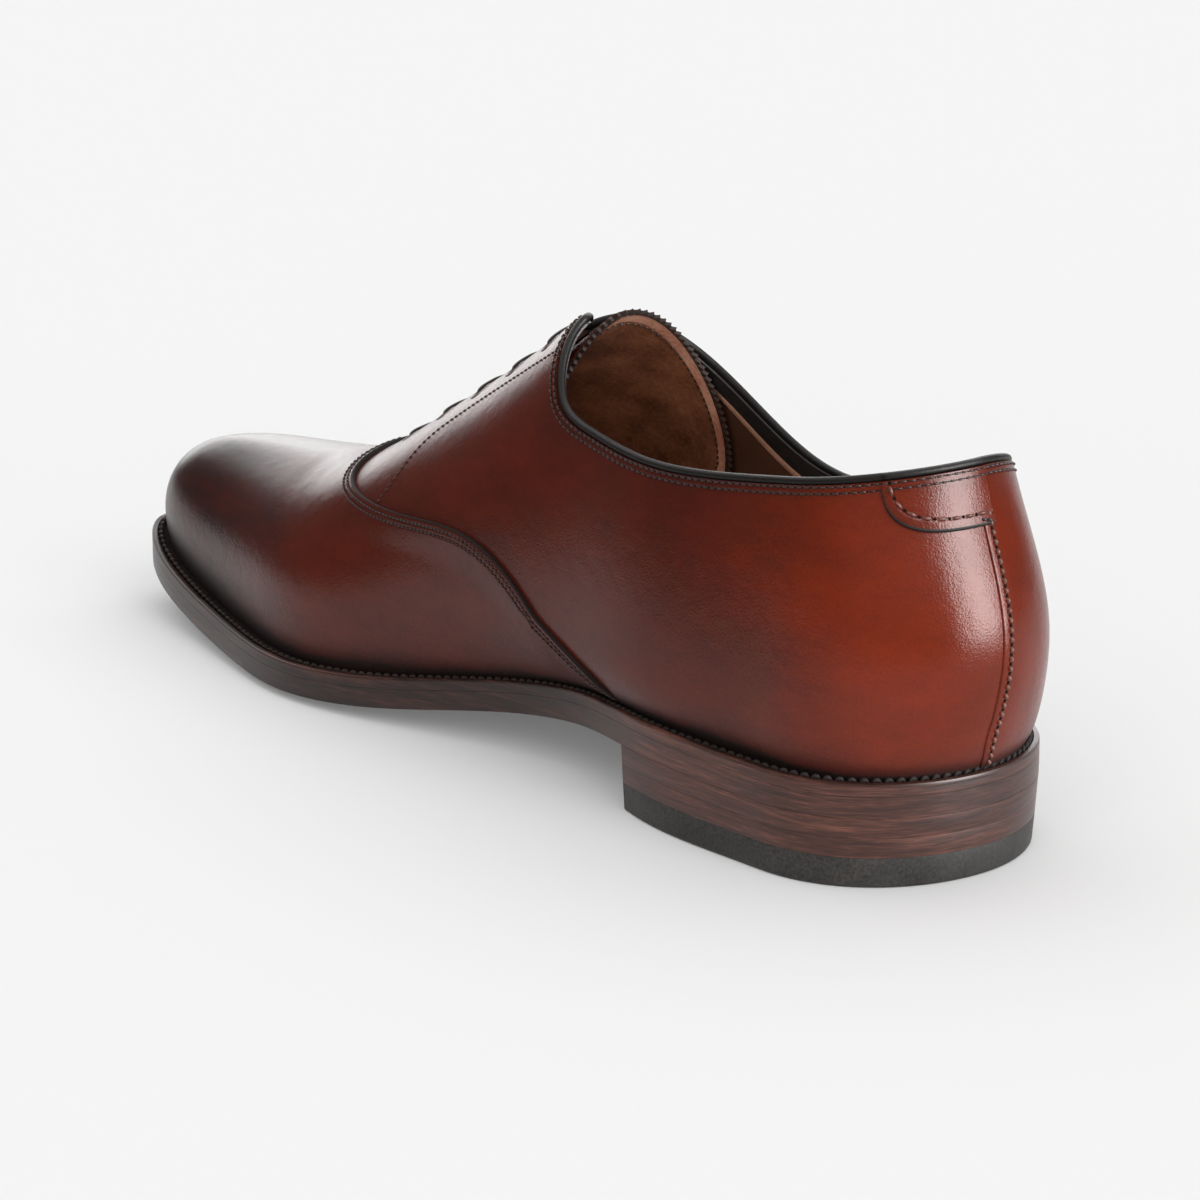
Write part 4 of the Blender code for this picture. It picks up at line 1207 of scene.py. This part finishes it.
# The collar binding: a strip of black calf folded over the top line as a piped edge, then turned inside as a
# narrow band, whose calf is a lighter copy of the black, a painted highlight for the light it catches from
# above. Two stitch rows below it hold binding, quarter and lining together.
BEAD_WIDE = 0.98                # half thickness across the wall
BEAD_HIGH = 1.0                 # half height
BEAD_OVER = 0.9                 # middle of the bead above the rim
BAND_DEEP = 4.6                 # black band inside the collar
binding_calf = make_plain_leather("binding_calf", (0.006, 0.0049, 0.0045), (0.015, 0.0118, 0.0107), 0.5, 0.06,
                                  Roughness=0.42, Specular_IOR_Level=0.24)
# The band inside: the same black calf painted lighter, as lit from above.
lit_band_calf = make_plain_leather("lit_band_calf", (0.012, 0.0100, 0.0095), (0.042, 0.0345, 0.0325), 0.6, 0.06,
                               Roughness=0.42, Specular_IOR_Level=0.5)


def collar_run(depth):
    """Line round the whole collar at a depth below the top line: points, outward normals, directions away
    from the rim, and the turn round the heel (0 and a half turn on the straight sides)."""
    inner_x, outer_x = (np.concatenate([FACING_TOP + FACING_CUT[side][1] * np.linspace(0.95, 0.02, 40),
                                        FACING_TOP - np.linspace(0, np.sqrt(FACING_TOP - HEEL_X), 330) ** 2])
                        for side in (1, -1))
    turn = np.linspace(0, np.pi, 361)[1:-1]
    rims = [highest(lambda t: inside_quarter(1, inner_x, t), inner_x.shape), heel_rim(turn),
            highest(lambda t: inside_quarter(-1, outer_x, t), outer_x.shape)[::-1]]
    places = [inner_x, turn, outer_x[::-1]]
    surfaces = [wall(1), heel_wall, wall(-1)]
    normals = [wall_normal(1, places[0], rims[0]), heel_normal(turn, rims[1]),
               wall_normal(-1, places[2], rims[2])]
    rim = np.concatenate([surface(place, t) for surface, place, t in zip(surfaces, places, rims)])
    down = np.cross(unit(np.gradient(rim, axis=0)), np.concatenate(normals))
    down *= np.where(down[len(down) // 2, 2] < 0, 1, -1)
    cuts = np.cumsum([len(inner_x), len(turn)])
    points = []
    found = []
    for number, step in enumerate((0.1, 0.005, 0.1)):
        move = np.split(down * depth, cuts)[number]
        place, t = slid(surfaces[number], places[number], rims[number], move, step)
        points.append(surfaces[number](place, t))
        found.append(heel_normal(place, t) if number == 1 else wall_normal(1 - number, place, t))
    turns = np.concatenate([np.zeros(len(inner_x)), turn, np.full(len(outer_x), np.pi)])
    return np.concatenate(points), np.concatenate(found), down, turns


def on_tab(turns):
    """Rise of what lies on the heel tab or on the lap of the back seam."""
    degrees = np.degrees(turns)
    tab = TAB * smooth_step((degrees - (90 - TAB_TURN)) / 2) * (degrees < 90 + TAB_PAST)
    lap = BACK_LAP * (1 - smooth_step((degrees - (90 - BACK_LAP_TURN)) / BACK_LAP_FADE))
    lap = lap * (degrees >= 90 + TAB_PAST)
    return tab + lap


def swept(line, wide, high, count):
    """Rings of count points along a line: ellipses whose half axes are given as rows of vectors."""
    angle = np.linspace(0, 2 * np.pi, count + 1)[:-1, None]
    return (line[:, None] + wide[:, None] * np.cos(angle) + high[:, None] * np.sin(angle)).reshape(-1, 3)


rim_points, rim_normals, rim_down, rim_turns = collar_run(0.0)
bead_rise = 0.5 * on_tab(rim_turns)
bead_line = rim_points - rim_normals * (WALL / 2 - bead_rise)[:, None] - rim_down * BEAD_OVER
bead_end = np.ones(len(bead_line))
bead_end[[0, -1]] = 0.02
bead_end[[1, -2]] = 0.75
bead_wide = rim_normals * ((BEAD_WIDE + bead_rise) * bead_end)[:, None]
bead_points = swept(bead_line, bead_wide, -rim_down * (BEAD_HIGH * bead_end)[:, None], 16)
bead_quads = ring_quads(len(bead_line), 16)
binding = add_piece("collar_piping", bead_points, [(bead_quads, binding_calf)], sharp=70.0)
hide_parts("collar_binding")


def collar_strip(name, depths, proud, finish):
    """Strip glued inside the collar: its inner face lies proud of the lining at each depth below the top
    line."""
    runs = [collar_run(depth) for depth in depths]
    outer = np.stack([run[0] - run[1] * (WALL - 0.1) for run in runs])
    inner = np.stack([run[0] - run[1] * (WALL + rise) for run, rise in zip(runs, proud)])
    quads = np.concatenate(sheet_faces(outer))
    strip = add_piece(name, two_faced(outer, inner), [(quads, finish)], sharp=60.0)


collar_strip("collar_band", np.linspace(-0.6, BAND_DEEP, 8), (0.45,) * 7 + (0.40,), lit_band_calf)
# Pale tan strip under the black band inside the collar, wider towards the front.
pale_collar_strip = make_plain_leather("pale_collar_strip", (0.50, 0.24, 0.145), (0.85, 0.48, 0.32), 0.5, 0.12, Roughness=0.85)
edge_wide = 0.6 + 2.0 * smooth_step((rim_points[:, :1] - 48.0) / 60.0)
collar_strip("collar_band_edge", [BAND_DEEP - 0.02 + share * edge_wide for share in (0.0, 0.3, 0.7, 1.0)],
             (0.38, 0.42, 0.34, 0.05), pale_collar_strip)


def collar_row(depth):
    """Stitch line below the binding, raised where it crosses the heel tab."""
    points, normals, _, turns = collar_run(depth)
    return points + normals * on_tab(turns)[:, None], normals


collar_rows = [collar_row(FIRST_ROW), collar_row(SECOND_ROW)]
sew("collar_stitches", collar_rows, pitch=2.05, radius=0.25, hole=0.25, sink=0.4)


# The tongue: a sheet of calf under the facings, flesh side inwards, arched at the top. Its border is left
# lighter outside a stitch row, and its edge is pinked into small teeth.
THROAT_GAP = 0.6                # room between tongue and facings
TONGUE = 1.6                    # thickness
TONGUE_LEAN = 3.0               # how much further in its inner edge stands at the top of the facings
# Half width at top, throat and foot, as a share of the wall, to the inner and the outer side
TONGUE_REACH_IN = (0.5, 0.3, 0.22)
TONGUE_REACH_OUT = (0.68, 0.3, 0.22)
TONGUE_FOOT = 226.0
TONGUE_TIP = 127.5              # top of the tongue on the centre line
TONGUE_SKEW = 11.0              # its top stands this much forward at the inner side and back at the outer one
TONGUE_HOLLOW = 4.0             # its top runs further back by this at both sides
TONGUE_CORNERS = (10.0, 40.0)   # rounding of its top corners, inner and outer
TOOTH = 1.4
TOOTH_PITCH = 1.9
TONGUE_ROW = 3.3                # stitch row, from the edge
TONGUE_HALF = 46.0              # half width at the top, over the arch
TONGUE_SIDE = 200.0             # station down to which its edges are pinked
TONGUE_ROW_END = 160.0          # station down to which they are stitched


def tongue_middle(u, x):
    """Middle of the tongue's thickness at lean u (-1 to 1 across) and station x, with its outward
    normal."""
    u, x = np.broadcast_arrays(np.asarray(u, float), np.asarray(x, float))
    reach = [np.interp(x, (TONGUE_TIP, THROAT, TONGUE_FOOT), row)
             for row in (TONGUE_REACH_IN, TONGUE_REACH_OUT)]
    t = 1 - np.where(u >= 0, reach[0], reach[1]) * np.abs(u)
    inner = u[..., None] >= 0
    point = np.where(inner, wall(1)(x, t), wall(-1)(x, t))
    normal = np.where(inner, wall_normal(1, x, t), wall_normal(-1, x, t))
    room = THROAT_GAP + TONGUE_LEAN * (1 + u) / 2 * smooth_step((THROAT - x) / (THROAT - FACING_TOP))
    return point - normal * (WALL + room + TONGUE / 2)[..., None], normal


def tongue_top(u):
    """Station of the tongue's top edge at lean u."""
    u = np.asarray(u, float)
    corner = np.where(u >= 0, *TONGUE_CORNERS)
    return TONGUE_TIP + TONGUE_SKEW * u - TONGUE_HOLLOW * u ** 2 + corner * u ** 8


suede, suede_tree = new_finish("tongue_suede", Roughness=0.9, Specular_IOR_Level=0.1)
suede_nap = noise(suede_tree, 900.0, 4.0, 0.7)
suede_tone = blend(suede_tree, (noise(suede_tree, 90.0, 4.0), 0.6), (suede_nap, 0.4))
suede_inside = ramp(suede_tree, suede_tone, (0.36, (0.15, 0.052, 0.024)), (0.64, (0.46, 0.180, 0.086)))
suede_border = ramp(suede_tree, suede_tone, (0.38, (0.62, 0.23, 0.14)), (0.62, (1.0, 0.54, 0.37)))
suede_edge, = read(suede_tree, "edge_mm")
border_mask = graded(suede_tree, suede_edge, TONGUE_ROW - 0.6, TONGUE_ROW + 0.2, 1.0, 0.0, "LINEAR")
suede_mix = add_node(suede_tree, "Mix", {0: border_mask, 6: suede_inside, 7: suede_border}, data_type="RGBA")
dress(suede, suede_mix.outputs[2], suede_nap, 0.8, 0.12)

tongue_calf = make_calf("tongue_calf", 30.0, 30.0, 0.0)
lean = np.linspace(-1, 1, 61)
rows = np.linspace(0, 1, 80)[:, None]
tongue_x = TONGUE_FOOT + (tongue_top(lean) - TONGUE_FOOT) * rows
middle, normal = tongue_middle(np.broadcast_to(lean, tongue_x.shape), tongue_x)
side_line = np.linspace(0, 1, 400)
top_line = np.sin(np.linspace(-np.pi / 2, np.pi / 2, 900))[1:-1]
side_ends = tongue_top(-1), tongue_top(1)
edge_u = np.concatenate([np.full(400, -1.0), top_line, np.full(400, 1.0)])
edge_x = np.concatenate([TONGUE_SIDE + (side_ends[0] - TONGUE_SIDE) * side_line, tongue_top(top_line),
                         side_ends[1] + (TONGUE_SIDE - side_ends[1]) * side_line])
edge_middle, edge_normal = tongue_middle(edge_u, edge_x)
edge_mm = nearest(middle, edge_middle)
tongue_points = two_faced(middle + normal * TONGUE / 2, middle - normal * TONGUE / 2)
outside, inside, rim = sheet_faces(middle)
tongue = add_piece("tongue_sheet", tongue_points,
                   [(np.concatenate([outside, rim]), tongue_calf), (inside, suede)],
                   on_both(edge_mm=edge_mm, burnish=np.full(edge_mm.shape, 0.55)))
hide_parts("tongue")

tooth_middle, tooth_run, tooth_normal = evenly(edge_middle, edge_normal, TOOTH_PITCH / 2)
tooth_out = np.cross(tooth_run, tooth_normal)
tooth_out *= np.sign(tooth_out[len(tooth_out) // 2] @ (tooth_middle[len(tooth_out) // 2] - middle[40, 30]))
tooth_root = tooth_middle - tooth_out * 0.5
tooth_tip = tooth_middle + tooth_out * np.where(np.arange(len(tooth_middle)) % 2, TOOTH, 0.05)[:, None]
half = tooth_normal * TONGUE / 2
tooth_ring = np.stack([tooth_root + half * 1.03, tooth_tip + half * 0.55,
                       tooth_tip - half * 0.55, tooth_root - half * 1.03], axis=1)
tooth_ends = np.array([[0, 1, 2, 3], [0, 3, 2, 1]]) + np.array([[0], [4 * (len(tooth_ring) - 1)]])
tooth_quads = np.concatenate([ring_quads(len(tooth_ring), 4), tooth_ends])
pinked_edge = make_plain_leather("pinked_edge", (0.020, 0.011, 0.008), (0.050, 0.026, 0.018), 0.6, 0.05,
                                 Roughness=0.7)
pinking = add_piece("tongue_pinking", tooth_ring.reshape(-1, 3), [(tooth_quads, pinked_edge)], sharp=25.0)


def tongue_row(distance):
    """Stitch line inside the tongue's edge, on the flesh side."""
    keep = edge_x < TONGUE_ROW_END
    inset_u = edge_u[keep] * (1 - distance / TONGUE_HALF)
    place, found = tongue_middle(inset_u, np.maximum(edge_x[keep], tongue_top(inset_u) + distance))
    return place - found * TONGUE / 2, -found


sew("tongue_stitches", [tongue_row(TONGUE_ROW)], pitch=1.9, radius=0.24, sink=0.3)


# The lace: a braided, waxed cotton cord, threaded in straight bars over the facings. Between them it runs
# on under the facings, and both ends stop under the top eyelets. These are punched holes with rims.
LACE = 0.80                     # half width over the facings
LACE_FLAT = 0.45                # share of that which is its half height, pressed on the facings
LACE_UNDER = 0.5                # radius where the facings press it flat
LACE_DEEP = 2.85                # depth of the runs below the facings' face
LACE_ASIDE = 1.3                # how far those runs bow to the side
# Each bar runs from one eyelet to another: side and number
LACING = (((1, 1), (-1, 1)), ((-1, 3), (1, 3)), ((1, 4), (-1, 4)), ((-1, 2), (1, 2)), ((1, 0), (-1, 0)))
LACE_END = (1, 0)
cotton, cotton_tree = new_finish("waxed_cotton", Roughness=0.5, Specular_IOR_Level=0.4)
weave_u, weave_v = read(cotton_tree, "weave_u", "weave_v")
strands = [math(cotton_tree, "SINE", blend(cotton_tree, (weave_u, 9.0), (weave_v, slope)))
           for slope in (25.13, -25.13)]
braid = math(cotton_tree, "MAXIMUM", *strands)
braid_share = blend(cotton_tree, (braid, 0.5), plus=0.5)
braid_colour = ramp(cotton_tree, braid_share, (0.0, (0.006, 0.004, 0.003)), (0.5, (0.028, 0.017, 0.012)))
dress(cotton, braid_colour, braid, 0.7, 0.1)


def lace_points(side, x, offset, height):
    """Points over a facing: offset millimetres beside the ridge and a height over the leather."""
    x, offset, height = np.broadcast_arrays(*(np.asarray(value, float) for value in (x, offset, height)))
    t = beside_ridge(side, x, offset)
    return wall(side)(x, t) + wall_normal(side, x, t) * height[..., None]


def lace_bar(start, end):
    """One bar: up out of its hole, straight across both facings, and down into the other hole."""
    (side, number), (far_side, _) = start, end
    x = eyelet_x[number]
    rise_offset = np.array([EYELET_Y + 0.1, EYELET_Y, EYELET_Y - 0.3, EYELET_Y - 1.2, 5.5, 3.0, 1.0])
    rise_height = np.array([-1.6, -0.6, 0.1, 0.42, 0.40, 0.38, 0.36])
    near = lace_points(side, np.full(7, x), rise_offset, rise_height)
    far = lace_points(far_side, np.full(7, x), rise_offset, rise_height)[::-1]
    return np.concatenate([near, far])


def lace_run(side, first, last, shift):
    """A run under a facing between two eyelets of one side, a little to the side of the holes."""
    x = np.linspace(eyelet_x[first], eyelet_x[last], 9)
    bow = np.sin(np.linspace(0, np.pi, 9)) ** 0.5
    return lace_points(side, x, EYELET_Y + shift * bow, -LACE_DEEP)


lace_line = []
lace_girth = []
previous = LACE_END
for order, (start, end) in enumerate(LACING):
    shift = LACE_ASIDE if order % 2 else -LACE_ASIDE
    lace_line += [lace_run(start[0], previous[1], start[1], shift), lace_bar(start, end)]
    lace_girth += [LACE_UNDER] * 9 + [0.8 * LACE] + [LACE] * 12 + [0.8 * LACE]
    previous = end
end_x = eyelet_x[previous[1]] + np.array([0.0, 2.0, 4.0])
lace_line = np.concatenate(lace_line + [lace_points(previous[0], end_x, EYELET_Y, -LACE_DEEP)])
lace_girth += [LACE_UNDER] * 3
lace_length = run_length(lace_line)
dense = np.linspace(0, lace_length[-1], 1100)
lace_path = np.stack([spline(lace_length, lace_line[:, k], dense) for k in range(3)], -1)
lace_radius = np.interp(dense, lace_length, lace_girth)[:, None]
lace_run_dir = unit(np.gradient(lace_path, axis=0))
lace_side = unit(np.cross(lace_run_dir, (0.45, 0.30, 0.84)))
lace_up = np.cross(lace_side, lace_run_dir)
lace_mesh = swept(lace_path, lace_side * lace_radius, lace_up * LACE_FLAT * lace_radius, 12)
lace_caps = np.array([[0, 1, 2, 3], [0, 3, 4, 11], [4, 5, 10, 11], [5, 6, 9, 10], [6, 7, 8, 9]])
lace_quads = np.concatenate([ring_quads(len(dense), 12), lace_caps, lace_caps + 12 * (len(dense) - 1)])
weave = {"weave_u": np.repeat(dense, 12), "weave_v": np.tile(np.arange(12) / 12, len(dense))}
lace = add_piece("lace", lace_mesh, [(lace_quads, cotton)], weave, sharp=80.0)
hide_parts("lace_bar_1", "lace_bar_2", "lace_bar_3", "lace_bar_4", "lace_bar_5")

# Rim of an eyelet: radius, height over the leather
RIM_PROFILE = ((2.55, -0.05), (2.3, 0.10), (2.0, 0.13), (1.7, 0.02), (1.5, -0.35), (1.45, -1.2), (1.55, -2.3),
               (2.6, -2.35), (2.7, -0.4), (2.55, -0.05))
rim_angle = np.linspace(0, 2 * np.pi, 25)[:-1]
rim_radius, rim_up = np.array(RIM_PROFILE).T[:, :, None, None]
eyelet_points = []
for side in (1, -1):
    out = eyelet_normals[side]
    forward = unit(np.cross(out, (0.0, 1.0, 0.0)))
    cross = np.cross(out, forward)
    circle = forward[:, None] * np.cos(rim_angle)[:, None] + cross[:, None] * np.sin(rim_angle)[:, None]
    for place, ring, away in zip(eyelet_places[side], circle, out):
        eyelet_points.append(place + ring * rim_radius + away * rim_up)
each = np.arange(len(eyelet_points)) * len(RIM_PROFILE) * len(rim_angle)
eyelet_quads = (ring_quads(len(RIM_PROFILE), len(rim_angle))[None] + each[:, None, None]).reshape(-1, 4)
eyelet_calf = make_plain_leather("eyelet_calf", (0.030, 0.010, 0.006), (0.055, 0.018, 0.010), 0.5, 0.03,
                                 Roughness=0.4)
eyelet_rims = add_piece("eyelet_rims", np.reshape(eyelet_points, (-1, 3)),
                        [(eyelet_quads, eyelet_calf)], sharp=60.0)


# The welt: a strip of leather all the way round, sewn to upper and insole. Its top is near black in the
# groove beside the upper, partly stain and partly painted shade under the upper, where thick waxed stitches
# hold the outsole; only its outer lip is left brown.
SOLE_EDGE = 8.0                 # welt and outsole together, at the edge
# Share of the welt's width, further inset, depth below its top
WELT_PROFILE = ((0, 0.0, 2.95), (0, 0.0, 1.35), (0, 0.02, 1.22), (0, 0.0, 1.05), (0, 0.03, 0.5),
                (0, 0.16, 0.18), (0, 0.45, 0.0), (0.28, 0.15, 0.0), (0.36, 0.15, 0.28), (0.52, 0.15, 0.50),
                (0.80, 0.15, 0.54), (0.95, 0.15, 0.42), (1.0, 0.8, 0.4), (1.0, WALL, 0.4), (1.0, WALL, 2.95))
GROOVE = (7, 12)                # rows of that profile over which the dark stain and painted shade run, first and last
STITCH_SHARE = 0.5              # place of the stitches across the welt
STITCH_DEEP = 0.35              # their depth below its top along the waist
STITCH_RISE = 0.25              # how much higher they lie round heel and toe
WELT_STITCH = 2.7               # their pitch
# Stations between which the waxed brown of heel and edges darkens, partly dye and partly painted shade on the
# waist edge, in metres of the row frame
HEEL_PALE, WAIST_DARK = row_frame(((70.0, 0.0, 0.0), (115.0, 0.0, 0.0)))[:, 0].tolist()
EDGE_BROWN = ((0.012, 0.0040, 0.0027), (0.060, 0.0195, 0.0125), (0.190, 0.067, 0.043))


def full_ring(welt_share, inset, height):
    """Closed ring of points round the whole sole."""
    inner, outer = sole_sides(welt_share, inset, height)
    return np.concatenate([inner, outer[-2:0:-1]])


def make_edge_wax():
    """Waxed leather edge: fibres run level round the sole as stretched noise, with paler scuffed streaks.
    The third output rises from 0 at the heel to 1 at the waist, along the length; it darkens the edge
    forwards, partly dye and partly painted shade."""
    tree, given, result = new_group("edge_wax", {"Layers per m": 1700.0}, ("Fibre", "Streak", "Waist dye and shade"))
    place = add_node(tree, "TexCoord").outputs["Object"]
    level = add_node(tree, "Mapping", {"Vector": place, "Scale": (1.0, 1.0, 18.0)}).outputs[0]
    station = add_node(tree, "SeparateXYZ", {"Vector": place}).outputs["X"]
    fibre_scale = math(tree, "DIVIDE", given["Layers per m"], 10.0)
    tree.links.new(noise(tree, fibre_scale, 4.0, 0.6, level), result["Fibre"])
    tree.links.new(noise(tree, 36.0, 5.0, 0.65, level), result["Streak"])
    tree.links.new(graded(tree, station, HEEL_PALE, WAIST_DARK, 0.0, 1.0, "LINEAR"), result["Waist dye and shade"])
    return tree


edge_wax = make_edge_wax()


def make_waxed_edge(name, dark, mid, pale):
    """Edge of leather layers, dyed and waxed: level fibres and streaks drift from dark to pale brown, and
    darken towards the waist, partly by dye and partly as painted shade.
    """
    made, tree = new_finish(name, Specular_IOR_Level=0.25, Coat_Weight=0.42, Coat_Roughness=0.3)
    wax = add_node(tree, "Group", node_tree=edge_wax).outputs
    tone = blend(tree, (wax["Fibre"], 0.45), (wax["Streak"], 0.55), (wax["Waist dye and shade"], -0.15))
    colour = ramp(tree, tone, (0.32, dark), (0.5, mid), (0.72, pale))
    return dress(made, colour, wax["Fibre"], 0.5, 0.05, blend(tree, (wax["Fibre"], 0.25), plus=0.32))


welt_wax = make_waxed_edge("welt_wax", *EDGE_BROWN)
# Stain and painted shade in the groove beside the upper.
groove_stain_and_shade = make_plain_leather("groove_stain_and_shade", (0.005, 0.003, 0.0025), (0.011, 0.006, 0.005), 0.7, 0.08,
                                  Roughness=0.85, Specular_IOR_Level=0.1)
welt_rings = [full_ring(share, inset, lambda x, drop=drop: seat(x) - drop)
              for share, inset, drop in WELT_PROFILE]
count = len(welt_rings[0])
welt_quads = ring_quads(len(welt_rings) + 1, count) % (len(welt_rings) * count)
profile_row = np.repeat(np.arange(len(welt_rings)), count)
groove = (profile_row >= GROOVE[0]) & (profile_row <= GROOVE[1])
welt = add_piece("welt_strip", np.concatenate(welt_rings),
                 [(welt_quads[~groove], welt_wax), (welt_quads[groove], groove_stain_and_shade)])
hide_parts("welt")



def stitch_height(x):
    """Height of the welt's stitches: sunk along the waist, higher round heel and toe."""
    return seat(x) - STITCH_DEEP + STITCH_RISE * (smooth_step((50 - x) / 50) + smooth_step((x - 230) / 40))


welt_thread = make_plain_leather("welt_thread", (0.005, 0.0032, 0.0028), (0.034, 0.021, 0.016), 0.12, 0.08,
                                 Roughness=0.6, Specular_IOR_Level=0.3)
stitch_ring = full_ring(STITCH_SHARE, 0.15, stitch_height)
stitch_ring = np.concatenate([stitch_ring, stitch_ring[:1]])
upright = np.broadcast_to((0.0, 0.0, 1.0), stitch_ring.shape)
sew("welt_stitches", [(stitch_ring, upright)], pitch=WELT_STITCH, radius=0.6, sink=0.3, fill=0.92, slant=0.25,
    finish=welt_thread)


# The outsole: leather cut to the outline of the welt, thin at the waist, with a slight belly under the ball
# and toe spring. Its edge is trimmed square, dyed dark brown and waxed.
CROWN = 2.4                     # belly under the ball
CROWN_FROM = 110.0              # station where it starts
sole_wax = make_waxed_edge("sole_wax", *EDGE_BROWN)


def under_sole(x):
    """Height of the outsole's lower edge at x."""
    return seat(x) - SOLE_EDGE


def ball_crown(x):
    """Belly of the outsole: none under arch and heel, full under the ball, fading at the toe."""
    return CROWN * smooth_step((x - CROWN_FROM) / 60) * smooth_step((TIP - x) / 50)


OUTSOLE_PROFILE = ((0, 0.8, lambda x: seat(x) - WELT), (0, 0.0, lambda x: seat(x) - WELT - 0.02),
                   (0, -0.04, lambda x: seat(x) - 5.4), (0, 0.0, lambda x: under_sole(x) + 0.06),
                   (0, 0.03, lambda x: under_sole(x) + 0.02), (0, 0.8, under_sole))
outsole_points, outsole_quads = plate(OUTSOLE_PROFILE, crown=ball_crown)
outsole = add_piece("outsole_leather", outsole_points, [(outsole_quads, sole_wax)])
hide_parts("outsole")


# The heel: two leather lifts under the outsole and a rubber top piece that meets the floor. The stack is
# trimmed as one block, a little smaller at the floor, so the layers show only as hairlines.
BREAST_X = 85.0                 # front face of the heel
TOP_PIECE = 7.2                 # thickness of the rubber at the back
LIFTS = 2
HEEL_TAPER = 1.0                # how much smaller the heel is at the floor, all round
HAIRLINE = 0.02                 # rounding of the layers' edges
FLOOR_ROUND = 0.9               # rounding of the rubber at the floor
lift_wax = make_waxed_edge("lift_wax", (0.015, 0.0050, 0.0034), (0.066, 0.0215, 0.0138),
                           (0.210, 0.075, 0.048))
rubber, rubber_tree = new_finish("heel_rubber", Roughness=0.5, Specular_IOR_Level=0.4)
rubber_grit = noise(rubber_tree, 1500.0, 3.0)
rubber_tone = blend(rubber_tree, (rubber_grit, 0.5), (noise(rubber_tree, 60.0, 3.0), 0.5))
rubber_colour = ramp(rubber_tree, rubber_tone, (0.38, (0.010, 0.009, 0.008)), (0.66, (0.050, 0.044, 0.040)))
dress(rubber, rubber_colour, rubber_grit, 0.6, 0.06)


def heel_layer(low_share, high_share, top_round, foot_round):
    """Plate of the heel between two shares of its height, tapered, with rounded top and foot edges."""
    def level(share, shift):
        return lambda x: under_sole(x) * share + shift
    profile = []
    for a in np.linspace(0, np.pi / 2, 5):
        inset = HEEL_TAPER * (1 - high_share) + top_round * (1 - np.sin(a))
        profile.append((0, inset, level(high_share, -0.03 - top_round * (1 - np.cos(a)))))
    for a in np.linspace(0, np.pi / 2, 5):
        inset = HEEL_TAPER * (1 - low_share) + foot_round * (1 - np.cos(a))
        profile.append((0, inset, level(low_share, foot_round * (1 - np.sin(a)))))
    return plate(profile, front=BREAST_X)


first = TOP_PIECE / float(under_sole(HEEL_X))
levels = [first + (1 - first) * number / LIFTS for number in range(LIFTS + 1)]
top_piece_points, top_piece_quads = heel_layer(0.0, first, HAIRLINE, FLOOR_ROUND)
top_piece = add_piece("heel_rubber_piece", top_piece_points, [(top_piece_quads, rubber)])
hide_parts("heel_top_piece")
for number in range(LIFTS):
    lift_points, lift_quads = heel_layer(levels[number], levels[number + 1], HAIRLINE, HAIRLINE)
    lift = add_piece(f"heel_stack_{LIFTS - number}", lift_points, [(lift_quads, lift_wax)])
    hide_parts(f"heel_lift_{LIFTS - number}")
